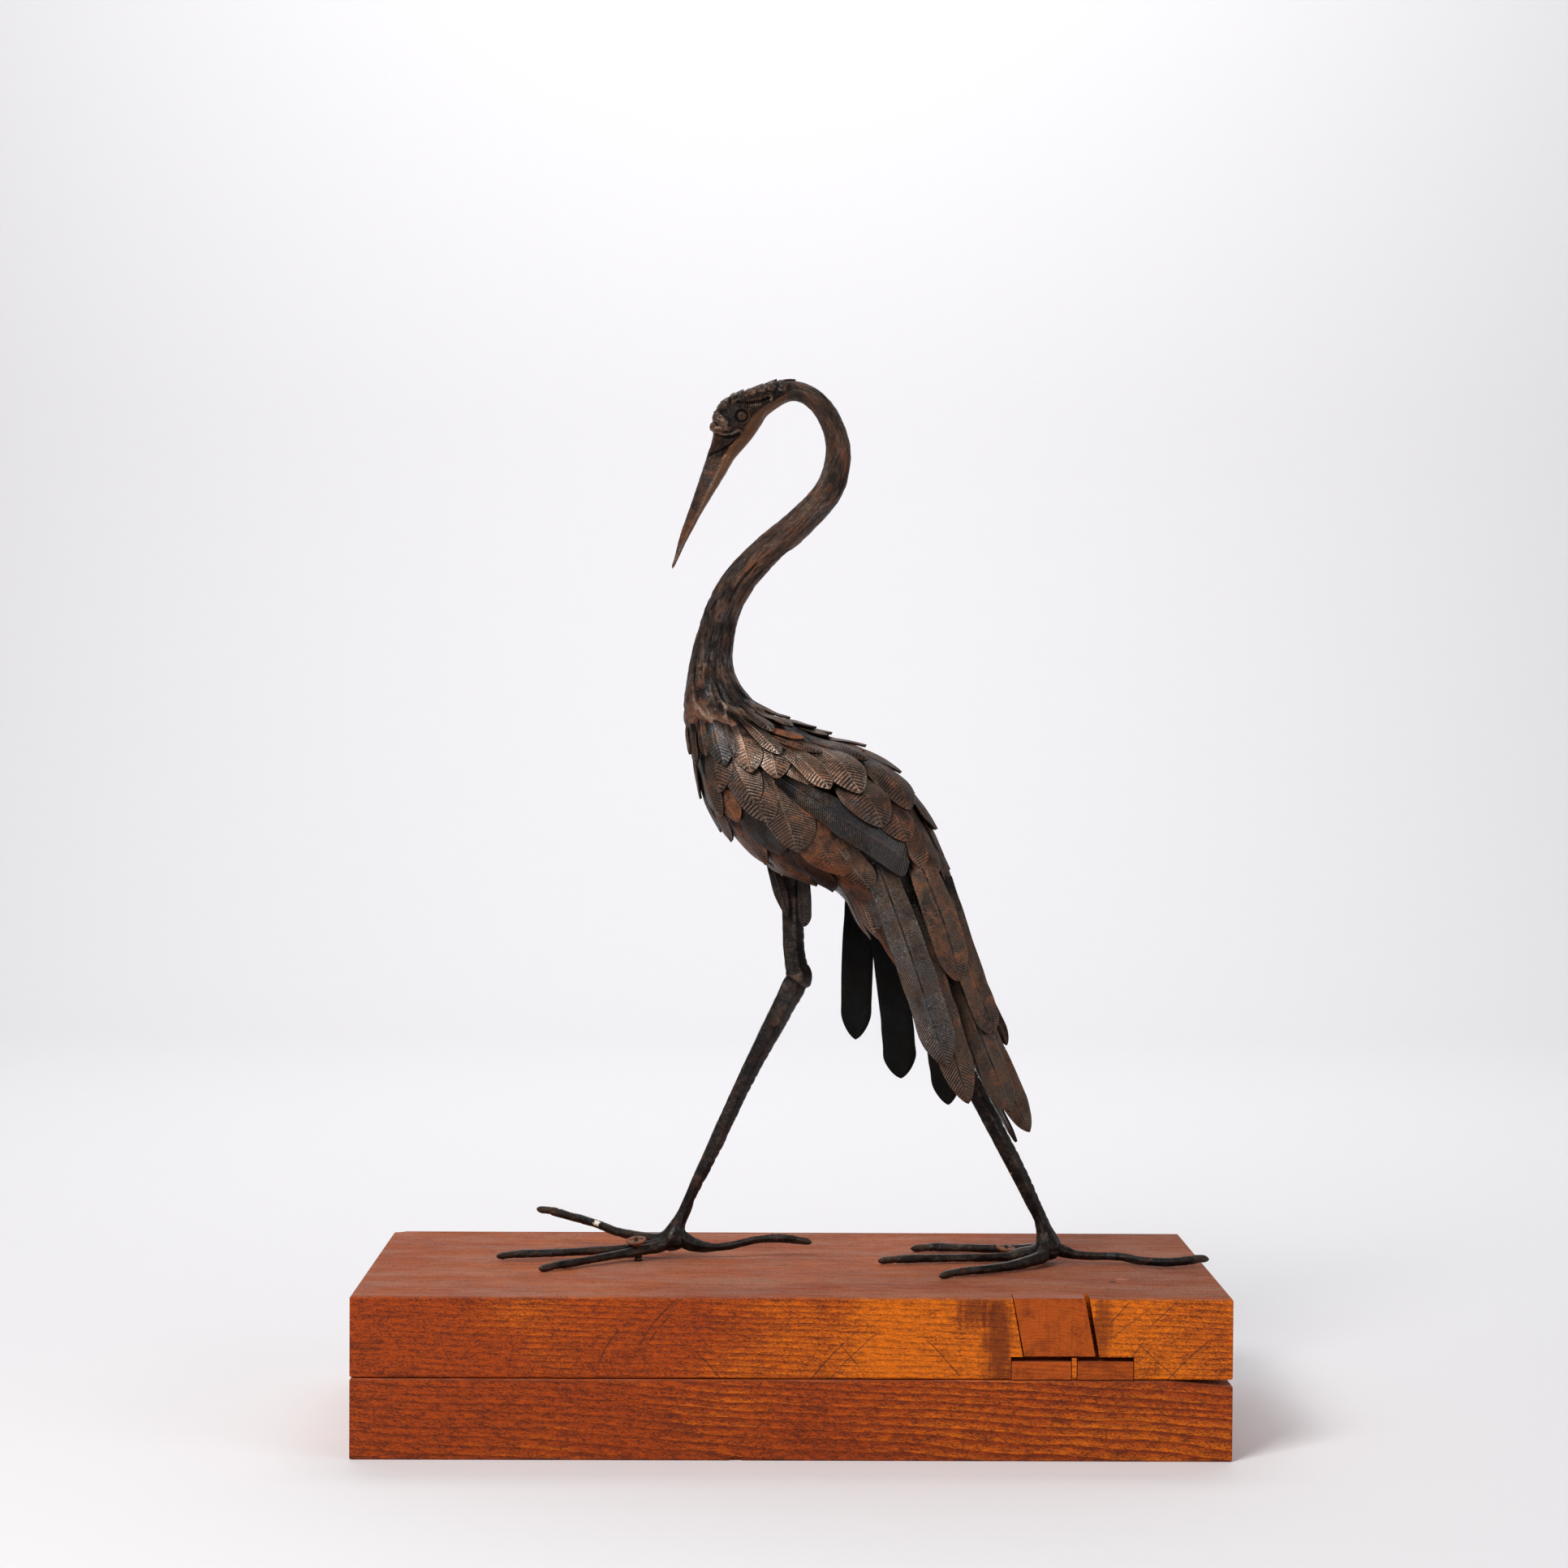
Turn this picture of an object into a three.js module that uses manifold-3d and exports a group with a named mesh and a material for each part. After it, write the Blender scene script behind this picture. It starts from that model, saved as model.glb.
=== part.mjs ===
import * as THREE from 'three';
import { mergeVertices } from 'three/addons/utils/BufferGeometryUtils.js';
import Module from 'manifold-3d';

// A crane striding over a base of two stacked boards. Millimetres, +Z up, the bird faces -X.
// The origin is the centre of the base's underside.

// Driving dimensions
const BASE_LENGTH = 490;
const BASE_DEPTH = 220;
const BOARD_THICKNESS = 45.2;
const SEAM = 0.6;
const EDGE_WEAR = 0.9;
const BASE_TOP = 2 * BOARD_THICKNESS + SEAM;
const GAP = 0.35;
const BODY_CLEARANCE = 1;
const BIRD_PLANE_Y = 9;
const BODY_SIDES = 12;
const COAT_LIFT = 3.2;
const COAT_SINK = 1;
const COAT_KEEL = 2.5;
const COAT_STATIONS = [0, 0.76, 1];
const COAT_WIDTHS = { root: 0.5, tip: 0.4, rounded: 0.3 };
const BLADE_RIDGE = 0.9;
const BLADE_UNDERSIDE = 0.7;
const BLADE_EDGE = 0.3;
const BLADE_TIP_EXTRA = 0.05;
const BLADE_STATIONS = [0, 0.25, 0.5, 0.75, 0.9, 0.975, 1];
const WIDEST_AT = 0.6;
const SHANK_SIDES = 6;
const TOE_SIDES = 5;
const SCREW = {
  head: 6, rim: 1, crown: 1.2, cone: 4.2, shank: 2, thread: 2.6, pitch: 2.2, depth: 28, point: 2,
};
const SCREW_CROSS = { long: 6.9, wide: 1.3, deep: 3 };
const SCREW_SIDES = 8;
const BORE_SIDES = 10;

// The bird's outline as ribs, from the beak's tip to the root of the tail. Each rib gives the
// point on the back or crown, the point on the throat or belly, and half the width across.
const BEAK_RIBS = [
  [-71.6, 500.2, -71.2, 500.0, 0.4],
  [-66.9, 519.6, -63.0, 517.2, 1.9],
  [-61.2, 536.3, -55.5, 530.6, 3.0],
  [-55.6, 553.1, -47.4, 544.1, 4.3],
  [-50.9, 567.5, -40.7, 555.1, 5.4],
  [-48.0, 577.0, -37.4, 560.9, 6.4],
];
const HEAD_RIBS = [
  [-47.1, 586.6, -35.1, 564.7, 8.5],
  [-43.3, 595.1, -32.7, 567.6, 10.5],
  [-37.5, 600.9, -29.4, 571.4, 11.3],
  [-29.5, 604.3, -24.6, 577.2, 10.8],
  [-20.9, 607.2, -19.4, 584.9, 9.8],
  [-11.4, 610.0, -15.1, 591.1, 8.8],
];
const NECK_RIBS = [
  [-1.8, 611.4, -3.2, 598.6, 7.2],
  [11.6, 607.5, 5.4, 597.0, 6.3],
  [22.7, 597.1, 13.1, 589.8, 6.1],
  [30.4, 582.3, 17.7, 578.9, 6.6],
  [33.4, 567.1, 18.5, 566.5, 7.4],
  [30.6, 548.9, 14.8, 553.6, 8.3],
  [22.1, 534.0, 8.1, 544.0, 8.6],
  [7.8, 519.6, -3.8, 532.9, 8.8],
  [-9.4, 504.6, -23.3, 516.0, 9.2],
  [-23.6, 488.3, -40.5, 498.2, 10.0],
  [-31.2, 473.9, -51.4, 478.5, 10.8],
  [-35.0, 457.6, -57.0, 460.3, 11.8],
  [-35.4, 444.2, -60.8, 445.5, 13.2],
  [-32.0, 433.7, -62.9, 432.5, 15.5],
];
const BODY_RIBS = [
  [-23.8, 423.7, -64.0, 421.0, 18.5],
  [-12.5, 414.5, -62.5, 409.5, 22.0],
  [2.5, 408.0, -60.0, 396.9, 26.0],
  [20.5, 400.5, -56.0, 381.5, 30.0],
  [38.5, 394.0, -50.0, 364.0, 34.0],
  [54.0, 384.5, -39.0, 347.2, 37.0],
  [68.0, 370.0, -25.5, 335.3, 38.5],
  [77.5, 354.0, -10.5, 324.0, 38.0],
  [84.5, 337.0, 9.5, 317.4, 35.0],
  [90.0, 320.5, 27.0, 309.5, 31.0],
  [94.0, 302.0, 42.0, 292.0, 26.0],
  [96.5, 285.0, 57.0, 278.0, 20.0],
  [97.5, 268.0, 72.0, 262.0, 12.0],
];
const RIBS = [...BEAK_RIBS, ...HEAD_RIBS, ...NECK_RIBS, ...BODY_RIBS];

// Small feathers that lie on the body, in rows. A place is a rib number, counted from the beak's
// tip, and an angle around the body in degrees, 0 on the back and 180 under the breast. A row
// runs evenly from its first root and tip to its last, with its first and last width.
const COAT_ROWS = [
  { count: 2, roots: [[34.3, 135], [34.2, 118]], tips: [[36.3, 176], [37.3, 160]], widths: [11, 13] },
  { count: 1, roots: [[35.1, 115]], tips: [[36.4, 128]], widths: [9] },
  { count: 2, roots: [[32.4, 143], [32.6, 131]], tips: [[34.1, 171], [34.7, 155]], widths: [12, 14] },
  { count: 2, roots: [[31.6, 96], [31.9, 91]], tips: [[34.1, 120], [34.8, 111]], widths: [18, 15] },
  { count: 2, roots: [[30.9, 154], [30.8, 129]], tips: [[32.7, 173], [32.6, 137]], widths: [14, 21] },
  { count: 1, roots: [[29.1, 177]], tips: [[31.3, 178]], widths: [10] },
  { count: 2, roots: [[29.5, 157], [30.4, 164]], tips: [[30.6, 162], [31.4, 176]], widths: [10, 10] },
  { count: 2, roots: [[29.9, 138], [30.1, 94]], tips: [[30.9, 144], [32.7, 124]], widths: [12, 19] },
  { count: 2, roots: [[28.7, 115], [29.6, 101]], tips: [[30.5, 121], [31.2, 123]], widths: [17, 17] },
  { count: 2, roots: [[28.6, 176], [28.5, 140]], tips: [[29.9, 176], [29.9, 142]], widths: [12, 15] },
  { count: 1, roots: [[30.0, 96]], tips: [[31.8, 95]], widths: [9] },
  { count: 4, roots: [[27.0, 167], [27.6, 104]], tips: [[28.4, 178], [28.9, 113]], widths: [8, 10] },
  { count: 2, roots: [[27.9, 93], [28.9, 84]], tips: [[29.5, 108], [30.1, 96]], widths: [14, 15] },
  { count: 1, roots: [[27.9, 88]], tips: [[29.1, 79]], widths: [8] },
  { count: 2, roots: [[33.4, 16], [32.6, 32]], tips: [[36.1, 4], [35.0, 47]], widths: [14, 17] },
  { count: 2, roots: [[31.7, 45], [30.6, 51]], tips: [[33.5, 53], [32.9, 64]], widths: [16, 19] },
  { count: 2, roots: [[29.1, 51], [28.8, 72]], tips: [[31.5, 62], [31.1, 75]], widths: [17, 11] },
  { count: 2, roots: [[30.4, 10], [28.7, 24]], tips: [[32.6, 34], [30.6, 25]], widths: [18, 12] },
  { count: 2, roots: [[28.2, 68], [27.9, 62]], tips: [[29.7, 52], [28.8, 45]], widths: [10, 9] },
  { count: 3, roots: [[26.9, 64], [26.6, 20]], tips: [[28.1, 64], [27.7, 8]], widths: [8, 7] },
];
// Feathers along the ridge of the back, seen edge on from either side.
const RIDGE_ROW = { count: 5, first: 27.4, step: 1.35, length: 1.6, angle: 9, widths: [9, 15] };

// Long feathers, each a piece of its own: root, middle and tip of its quill, width, how far it is
// turned about the quill, in degrees from facing the near side, its width at the root as a share
// of its full width, and its rounded tip's length as a share of it. The outermost come first.
const LEFT_WING = [
  ['left_wing_bar', [-9, -29, 378], [31, -37, 354], [68, -27, 329], 20, -14, 0.35, 0.25],
  ['left_flight_feather_1', [47, -24, 334], [69, -29, 272], [91, -20, 209], 21, 4, 0.8, 0.6],
  ['left_flight_feather_2', [71, -19.5, 335], [87, -26, 298], [98, -21, 259], 20, -12, 0.7, 0.6],
  ['left_flight_feather_3', [62, -18, 310], [83, -21, 255], [104, -13, 187], 20, 2, 0.7, 0.6],
  ['left_flight_feather_4', [89, -4, 320], [104, -17, 269], [119.5, -10, 228], 18, -30, 0.7, 0.5],
];
const TAIL = [
  ['tail_feather_1', [92, -2, 276], [114, -9, 222], [129, -7, 181.5], 17, -10, 0.7, 0.8],
  ['tail_feather_2', [97, 9, 272], [119.5, 5, 215], [142, 7, 168], 16, -12, 0.7, 0.9],
  ['tail_feather_3', [98, 15, 272], [116, 19, 244], [129, 20, 218], 9, 12, 0.8, 0.9],
  ['tail_feather_4', [90, 13, 266], [108, 13, 212], [134, 13, 161], 12, 72, 0.6, 0.9],
  ['tail_feather_5', [93, 20, 272], [112, 26, 226], [131, 25, 184], 17, 14, 0.7, 0.8],
];
const RIGHT_WING = [
  ['right_wing_bar', [-9, 47, 378], [31, 55, 354], [68, 45, 329], 20, 194, 0.35, 0.25],
  ['right_flight_feather_1', [42, 36, 322], [41, 44, 268], [39.5, 41, 219], 19, 176, 0.9, 0.6],
  ['right_flight_feather_2', [52, 35, 318], [61, 41, 252], [67, 38, 196], 20, 178, 0.9, 0.6],
  ['right_flight_feather_3', [71, 37.5, 335], [87, 44, 298], [98, 40, 259], 20, 192, 0.7, 0.6],
  ['right_flight_feather_4', [72, 27, 300], [87, 33, 236], [95, 32, 181], 19, 176, 0.8, 0.6],
  ['right_flight_feather_5', [89, 22, 320], [104, 35, 270], [118, 29, 230], 18, 210, 0.7, 0.5],
];

// Legs and toes: points along each bar with the bar's half width at that point.
const RIGHT_LEG = {
  shank: [
    [0, 25, 320, 7], [0.7, 22.5, 284, 7], [2.4, 20.6, 266, 7.2], [4.4, 20, 259.5, 8.3],
    [1.5, 20, 253.5, 8.0], [-5.6, 19.5, 239.5, 7.2], [-18.2, 18.5, 215, 6.1],
    [-30.2, 17.5, 190.6, 5.4], [-45.9, 16, 156.4, 4.7], [-56.8, 15, 133.3, 3.9],
    [-63.6, 14.5, 118.5, 3.5], [-69, 14, 105, 6],
  ],
  hub: [-70, 14, 102, 9.5, 7.5, 6.5],
  thigh: [
    ['near', [-11, 19, 324], [-8.6, 16.5, 309], [-4.2, 17, 292], 9, 0, 0.9, 0.8],
    ['rear', [5, 24, 324], [7.4, 23, 308], [7, 22.5, 292], 8, 70, 0.9, 0.6],
  ],
  toes: [
    [[-70, 15, 103, 5.5], [-84, 21, 104.8, 2.9], [-103, 29, 104.7, 2.8], [-115.6, 36, 108.2, 2.7],
      [-133.3, 47, 111.3, 2.6], [-144, 52.5, 113.2, 2.5], [-153, 58, 113.2, 0.9]],
    [[-70, 13, 101, 5.5], [-84, 11.5, 99, 2.9], [-97.5, 8.5, 98, 2.7], [-131, 6.8, 96, 2.5],
      [-159.6, 5.1, 95, 2.6], [-173, 3.4, 93.8, 0.9]],
    [[-70, 12, 101, 5.5], [-82, 8, 98, 3], [-102, -2.2, 95.9, 2.7], [-120, -15.3, 94.8, 2.5],
      [-133.7, -27.1, 94.4, 2.6], [-145.5, -34.1, 93, 0.9]],
    [[-67, 14, 103, 6], [-54.3, 14.9, 98.8, 4.2], [-44.7, 15.4, 97.4, 2.7], [-35, 15.4, 98.5, 2.5],
      [-20.6, 17.5, 101.5, 2.4], [-6.1, 18, 102.5, 2.7], [5, 18, 101.4, 2.4], [13.3, 18.6, 100, 0.9]],
  ],
};
const LEFT_LEG = {
  shank: [
    [50, -5, 312, 7], [61.9, -3, 281.4, 7], [73, -2, 262, 7.4], [77, -1.8, 254, 8.2],
    [81, -1, 244, 7.4], [96, 0, 216.7, 6.3], [115.4, 1, 180.7, 5.6], [135, 2, 143.6, 5.3],
    [147, 2.4, 119, 4.3], [150.5, 2.4, 110.5, 4.2], [153, 2.2, 103, 6],
  ],
  hub: [152.5, 1, 99.5, 10, 8.5, 6.8],
  thigh: [],
  toes: [
    [[152, 3, 99, 5.5], [144, 14, 97.5, 3.6], [134, 23, 96, 3], [106.5, 34, 94.7, 2.7],
      [87, 38.8, 94.4, 2.6], [73.5, 38.8, 93.2, 0.9]],
    [[152, 1, 98.5, 5.5], [138, 2.5, 96.5, 3.6], [128, 2.6, 95, 2.9], [99.2, 1.1, 94.3, 2.6],
      [65.4, -3.6, 94.3, 2.6], [52, -4, 93, 0.9]],
    [[152, -2, 98.5, 5.5], [149, -13, 96.8, 3.6], [125.4, -30.2, 94.8, 2.9], [98, -45.5, 94.4, 2.6],
      [85, -52.8, 93, 0.9]],
    [[153, 1.5, 100, 6], [159.5, 1, 98, 4], [171, 0.5, 96, 2.8], [195, -1.6, 95.4, 2.6],
      [208, -9.5, 94.5, 2.7], [221.7, -13, 94.4, 2.6], [234.4, -10.7, 95, 2.7], [241, -9.5, 96, 2.3],
      [246.6, -9, 95.5, 0.9]],
  ],
};

// Screws: where the shank meets the board, and the direction from there to the head.
const FRONT_SCREW = { foot: [-89.3, 6.2, BASE_TOP], lean: [-0.1, -0.12, 1], rise: 12.2 };
const REAR_SCREW = { foot: [127.5, 11.3, BASE_TOP], lean: [0.16, -0.1, 1], rise: 8.4 };

// Repair in the upper board's front face: a wedge let in from the top, two blocks below it.
const PATCH_DEPTH = 12;
const WEDGE = { top: [122.8, 162.5], bottom: [129, 168.5], low: 58.7, high: BASE_TOP };
const WEDGE_GAPS = [0.7, 2.4];
const WEDGE_SET_BACK = 0.4;
const BLOCKS = { left: [122, 155], right: [158.6, 189.6], low: BOARD_THICKNESS + SEAM, high: 55.6 };
const BLOCK_GAP = 0.5;
const BLOCK_SLOT_TOP = 58.4;
const CUT_BEYOND = 1;
// The lower board's sagging right end, its chipped front edge, and the upper board's lost corner.
const WARP = { start: 207, end: 243, drop: 3.4 };
const EDGE_CHIP = [-31, -BASE_DEPTH / 2, 0, 5, 2.5, 3.2];
const LOST_CORNER = [-BASE_LENGTH / 2, BASE_DEPTH / 2, BASE_TOP + 1, 9, 6, 4];

// Lumps on the head: place, half sizes along X, Y and Z. The bird's own plane holds the crest.
const CREST_LUMPS = [
  [-42, 9, 594.5, 6, 6, 4.6], [-36, 9, 599.6, 6.5, 6.5, 4.6], [-30.5, 9, 602, 5.5, 5.5, 4.4],
  [-23, 9, 603.8, 6.5, 6, 4], [-15, 9, 606.8, 5, 4.8, 4.4], [-3.4, 9, 608.6, 7, 5.4, 4.5],
];
const CHEEK_LUMPS = [
  [-41.6, 7.6, 587.4, 4.2, 3.4, 3.4], [-46.6, 3.4, 582.6, 3, 3.6, 4], [-39.5, 8.4, 575.4, 5.6, 2, 1.8],
];
const EYE = {
  x: -31, z: 589, offset: 10.4, socket: 4.7, flare: 0.8, depth: 5.2, sunk: 1, ball: 2.9, proud: 0.6,
};

// Materials
const metal = (color, roughness) => new THREE.MeshStandardMaterial({ color, roughness, metalness: 0.8 });
const wood = (color, roughness) => new THREE.MeshStandardMaterial({ color, roughness, metalness: 0 });
const BODY_METAL = metal(0x5c4a3f, 0.62);
const WING_METAL = metal(0x54483f, 0.6);
const LEG_METAL = metal(0x38302c, 0.68);
const SCREW_METAL = metal(0x5a3d2c, 0.8);
const BOARD_WOOD = wood(0xa4501f, 0.45);
const PATCH_WOOD = wood(0xbe6c2e, 0.5);

const wasm = await Module();
wasm.setup();

// Solids from three.js geometry, and back
function solidOf(geometry) {
  const bare = geometry.clone();
  bare.deleteAttribute('normal');
  bare.deleteAttribute('uv');
  const merged = mergeVertices(bare, 1e-4);
  return new wasm.Manifold(new wasm.Mesh({
    numProp: 3,
    vertProperties: merged.attributes.position.array,
    triVerts: Uint32Array.from(merged.index.array),
  }));
}

function nodeOf(solid, name, material) {
  const { vertProperties, triVerts, numProp } = solid.getMesh();
  const geometry = new THREE.BufferGeometry();
  const positions = new Float32Array((vertProperties.length / numProp) * 3);
  for (let i = 0; i < positions.length; i += 1) {
    positions[i] = vertProperties[Math.floor(i / 3) * numProp + (i % 3)];
  }
  geometry.setAttribute('position', new THREE.BufferAttribute(positions, 3));
  geometry.setIndex(Array.from(triVerts));
  geometry.computeVertexNormals();
  const mesh = new THREE.Mesh(geometry, material);
  mesh.name = name;
  return mesh;
}

function largestPiece(solid) {
  return solid.decompose().reduce((best, piece) => (piece.volume() > best.volume() ? piece : best));
}

// A closed skin over rings of equal length, the first and last ring capped with a fan.
function skin(rings) {
  const sides = rings[0].length;
  const points = rings.flat();
  const faces = [];
  for (let r = 0; r + 1 < rings.length; r += 1) {
    for (let i = 0; i < sides; i += 1) {
      const a = r * sides + i;
      const b = r * sides + ((i + 1) % sides);
      faces.push(a, b, b + sides, a, b + sides, a + sides);
    }
  }
  const last = (rings.length - 1) * sides;
  for (let i = 1; i + 1 < sides; i += 1) {
    faces.push(0, i + 1, i, last, last + i, last + i + 1);
  }
  const geometry = new THREE.BufferGeometry().setFromPoints(points);
  geometry.setIndex(faces);
  return geometry;
}

// Smooth curve through evenly numbered rows of values, read at any fraction between them.
function smoothRow(rows, at) {
  const i = Math.min(Math.max(Math.floor(at), 0), rows.length - 2);
  const t = at - i;
  const row = (k) => rows[Math.min(Math.max(k, 0), rows.length - 1)];
  return row(i).map((b, k) => {
    const a = row(i - 1)[k];
    const c = row(i + 1)[k];
    const d = row(i + 2)[k];
    return b + 0.5 * t * (c - a + t * (2 * a - 5 * b + 4 * c - d + t * (3 * (b - c) + d - a)));
  });
}

// The bird's skin at a rib number and an angle: an ellipse between the rib's two outline points.
function skinPoint(rib, angle) {
  const [backX, backZ, bellyX, bellyZ, half] = smoothRow(RIBS, rib);
  const across = Math.cos(angle) / 2;
  return new THREE.Vector3(
    (backX + bellyX) / 2 + (backX - bellyX) * across,
    BIRD_PLANE_Y - half * Math.sin(angle),
    (backZ + bellyZ) / 2 + (backZ - bellyZ) * across,
  );
}

// The two ways along the skin at a place, towards the tail and around the body, and its outward normal.
function skinFrame(rib, angle) {
  const step = 0.01;
  const along = skinPoint(rib + step, angle).sub(skinPoint(rib - step, angle)).divideScalar(2 * step);
  const around = skinPoint(rib, angle + step).sub(skinPoint(rib, angle - step)).divideScalar(2 * step);
  const normal = new THREE.Vector3().crossVectors(around, along).normalize();
  return { along, around, normal };
}

function raisedSkin(rib, angle, height) {
  return skinPoint(rib, angle).addScaledVector(skinFrame(rib, angle).normal, height);
}

// From beak to tail in one skin, grown outwards by a margin where it is used to cut a clearance.
function birdSkin(margin) {
  const rings = RIBS.map((outline, rib) => Array.from({ length: BODY_SIDES }, (item, i) => {
    const angle = (2 * Math.PI * (i + 0.5)) / BODY_SIDES;
    return raisedSkin(rib, angle, margin);
  }));
  return solidOf(skin(rings));
}

// How wide a feather is along its length: it widens from its root and rounds off at its tip.
function featherWidth(t, rootShare, tipLength) {
  const body = rootShare + (1 - rootShare) * Math.sin(Math.min(t / WIDEST_AT, 1) * Math.PI / 2);
  const toTip = Math.max(0, t - 1 + tipLength) / tipLength;
  return body * Math.sqrt(1 - Math.min(toTip, 1) ** 2);
}

// A small feather on the skin: flat above, thin at its edges, with a keel sunk in the body.
function coatFeather(root, tip, width, side, margin) {
  const turn = side * THREE.MathUtils.degToRad(tip[1] - root[1]);
  const rings = COAT_STATIONS.map((t) => {
    const rib = THREE.MathUtils.lerp(root[0], tip[0], t);
    const angle = side * THREE.MathUtils.degToRad(THREE.MathUtils.lerp(root[1], tip[1], t));
    const { along, around, normal } = skinFrame(rib, angle);
    const quill = along.clone().multiplyScalar(tip[0] - root[0]).addScaledVector(around, turn).normalize();
    const cross = new THREE.Vector3().crossVectors(normal, quill);
    const share = featherWidth(t, COAT_WIDTHS.root, COAT_WIDTHS.rounded);
    const half = width * Math.max(COAT_WIDTHS.tip, share) / 2 + margin;
    const lift = THREE.MathUtils.lerp(-COAT_SINK, COAT_LIFT, t) + margin;
    const beyond = 1.5 * margin * (t === 1 ? 1 : -(t === 0));
    const place = (sideways, height) => {
      const step = cross.clone().multiplyScalar(sideways).addScaledVector(quill, beyond);
      const ribs = step.dot(along) / along.lengthSq();
      const turns = step.dot(around) / around.lengthSq();
      return raisedSkin(rib + ribs, angle + turns, height);
    };
    return [place(half, lift), place(-half, lift), place(0, -COAT_KEEL - margin)];
  });
  return orient(skin(rings));
}

// Turns a skin inside out where its faces point inwards.
function orient(geometry) {
  const solid = solidOf(geometry);
  if (solid.volume() > 0) return solid;
  const flipped = geometry.clone();
  flipped.setIndex(Array.from(geometry.index.array).reverse());
  return solidOf(flipped);
}

function rowFeathers({ count, roots, tips, widths }) {
  return Array.from({ length: count }, (item, i) => {
    const t = count > 1 ? i / (count - 1) : 0;
    const between = (pair) => pair[0].map((v, k) => THREE.MathUtils.lerp(v, pair[pair.length - 1][k], t));
    const width = THREE.MathUtils.lerp(widths[0], widths[widths.length - 1], t);
    return { root: between(roots), tip: between(tips), width };
  });
}

function ridgeFeathers({ count, first, step, length, angle, widths }) {
  return Array.from({ length: count }, (item, i) => {
    const rib = first + step * i;
    const width = THREE.MathUtils.lerp(widths[0], widths[1], i / (count - 1));
    return { root: [rib, angle / 2], tip: [rib + length, angle], width };
  });
}

function coat(margin) {
  const feathers = [...COAT_ROWS.flatMap(rowFeathers), ...ridgeFeathers(RIDGE_ROW)];
  return feathers.flatMap(({ root, tip, width }) => (
    [1, -1].map((side) => coatFeather(root, tip, width, side, margin))
  ));
}

function lump([x, y, z, rx, ry, rz]) {
  const ball = new THREE.IcosahedronGeometry(1);
  return solidOf(ball.scale(rx, ry, rz).translate(x, y, z));
}

// Both sides of the head carry the same cheek lumps and a ringed eye.
function headCarving() {
  const sides = [-1, 1];
  const crest = CREST_LUMPS.map((place) => lump(place));
  const cheeks = sides.flatMap((side) => CHEEK_LUMPS.map(([x, y, z, ...sizes]) => (
    lump([x, BIRD_PLANE_Y + side * y, z, ...sizes])
  )));
  const eyes = sides.flatMap((side) => {
    const socket = new THREE.CylinderGeometry(EYE.socket, EYE.socket + EYE.flare, EYE.depth, 10);
    const ball = new THREE.SphereGeometry(EYE.ball, 8, 5);
    const y = BIRD_PLANE_Y + side * EYE.offset;
    return [
      solidOf(socket.rotateX(side * Math.PI / 2).translate(EYE.x, y - side * EYE.sunk, EYE.z)),
      solidOf(ball.translate(EYE.x, y + side * EYE.proud, EYE.z)),
    ];
  });
  return [...crest, ...cheeks, ...eyes];
}

function birdBody(margin) {
  return wasm.Manifold.union([birdSkin(margin), ...coat(margin), ...headCarving()]);
}

// A long feather: a thin blade along a curved quill, ridged above and nearly flat below.
function blade([name, root, middle, tip, width, turned, rootShare, tipShare], margin) {
  const [a, b, c] = [root, middle, tip].map((p) => new THREE.Vector3(...p));
  const control = b.clone().multiplyScalar(2).addScaledVector(a, -0.5).addScaledVector(c, -0.5);
  const quill = new THREE.QuadraticBezierCurve3(a, control, c);
  const facing = THREE.MathUtils.degToRad(turned);
  const tipLength = tipShare * width / quill.getLength() + BLADE_TIP_EXTRA;
  const rings = BLADE_STATIONS.map((t) => {
    const tangent = quill.getTangent(t);
    const near = new THREE.Vector3(0, -1, 0).addScaledVector(tangent, tangent.y).normalize();
    const normal = near.applyAxisAngle(tangent, facing);
    const cross = new THREE.Vector3().crossVectors(normal, tangent);
    const at = quill.getPoint(t).addScaledVector(tangent, t === 1 ? margin : 0);
    const half = Math.max(BLADE_EDGE, width * featherWidth(t, rootShare, tipLength) / 2) + margin;
    return [
      at.clone().addScaledVector(cross, half),
      at.clone().addScaledVector(normal, BLADE_RIDGE + margin),
      at.clone().addScaledVector(cross, -half),
      at.clone().addScaledVector(normal, -BLADE_UNDERSIDE - margin),
    ];
  });
  return orient(skin(rings));
}

// The long feathers from the outermost inwards, each cut clear of the body and of those before it.
function longFeathers(taken) {
  let cutter = taken;
  return [...LEFT_WING, ...RIGHT_WING, ...TAIL].map((feather) => {
    const solid = largestPiece(blade(feather, 0).subtract(cutter));
    cutter = cutter.add(blade(feather, GAP));
    return nodeOf(solid, feather[0], WING_METAL);
  });
}

// A forged bar with uneven flat sides, through points that each give the half width there.
function bar(points, sides, margin) {
  const places = points.map(([x, y, z]) => new THREE.Vector3(x, y, z));
  const rings = places.map((at, i) => {
    const before = places[Math.max(i - 1, 0)];
    const after = places[Math.min(i + 1, places.length - 1)];
    const tangent = after.clone().sub(before).normalize();
    const cross = new THREE.Vector3(-tangent.z, 0, tangent.x);
    const across = cross.normalize();
    const up = new THREE.Vector3().crossVectors(tangent, across).normalize();
    const half = points[i][3] + margin;
    return Array.from({ length: sides }, (item, k) => {
      const angle = (2 * Math.PI * k) / sides;
      return at.clone()
        .addScaledVector(across, half * Math.cos(angle))
        .addScaledVector(up, half * Math.sin(angle));
    });
  });
  return orient(skin(rings));
}

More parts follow.
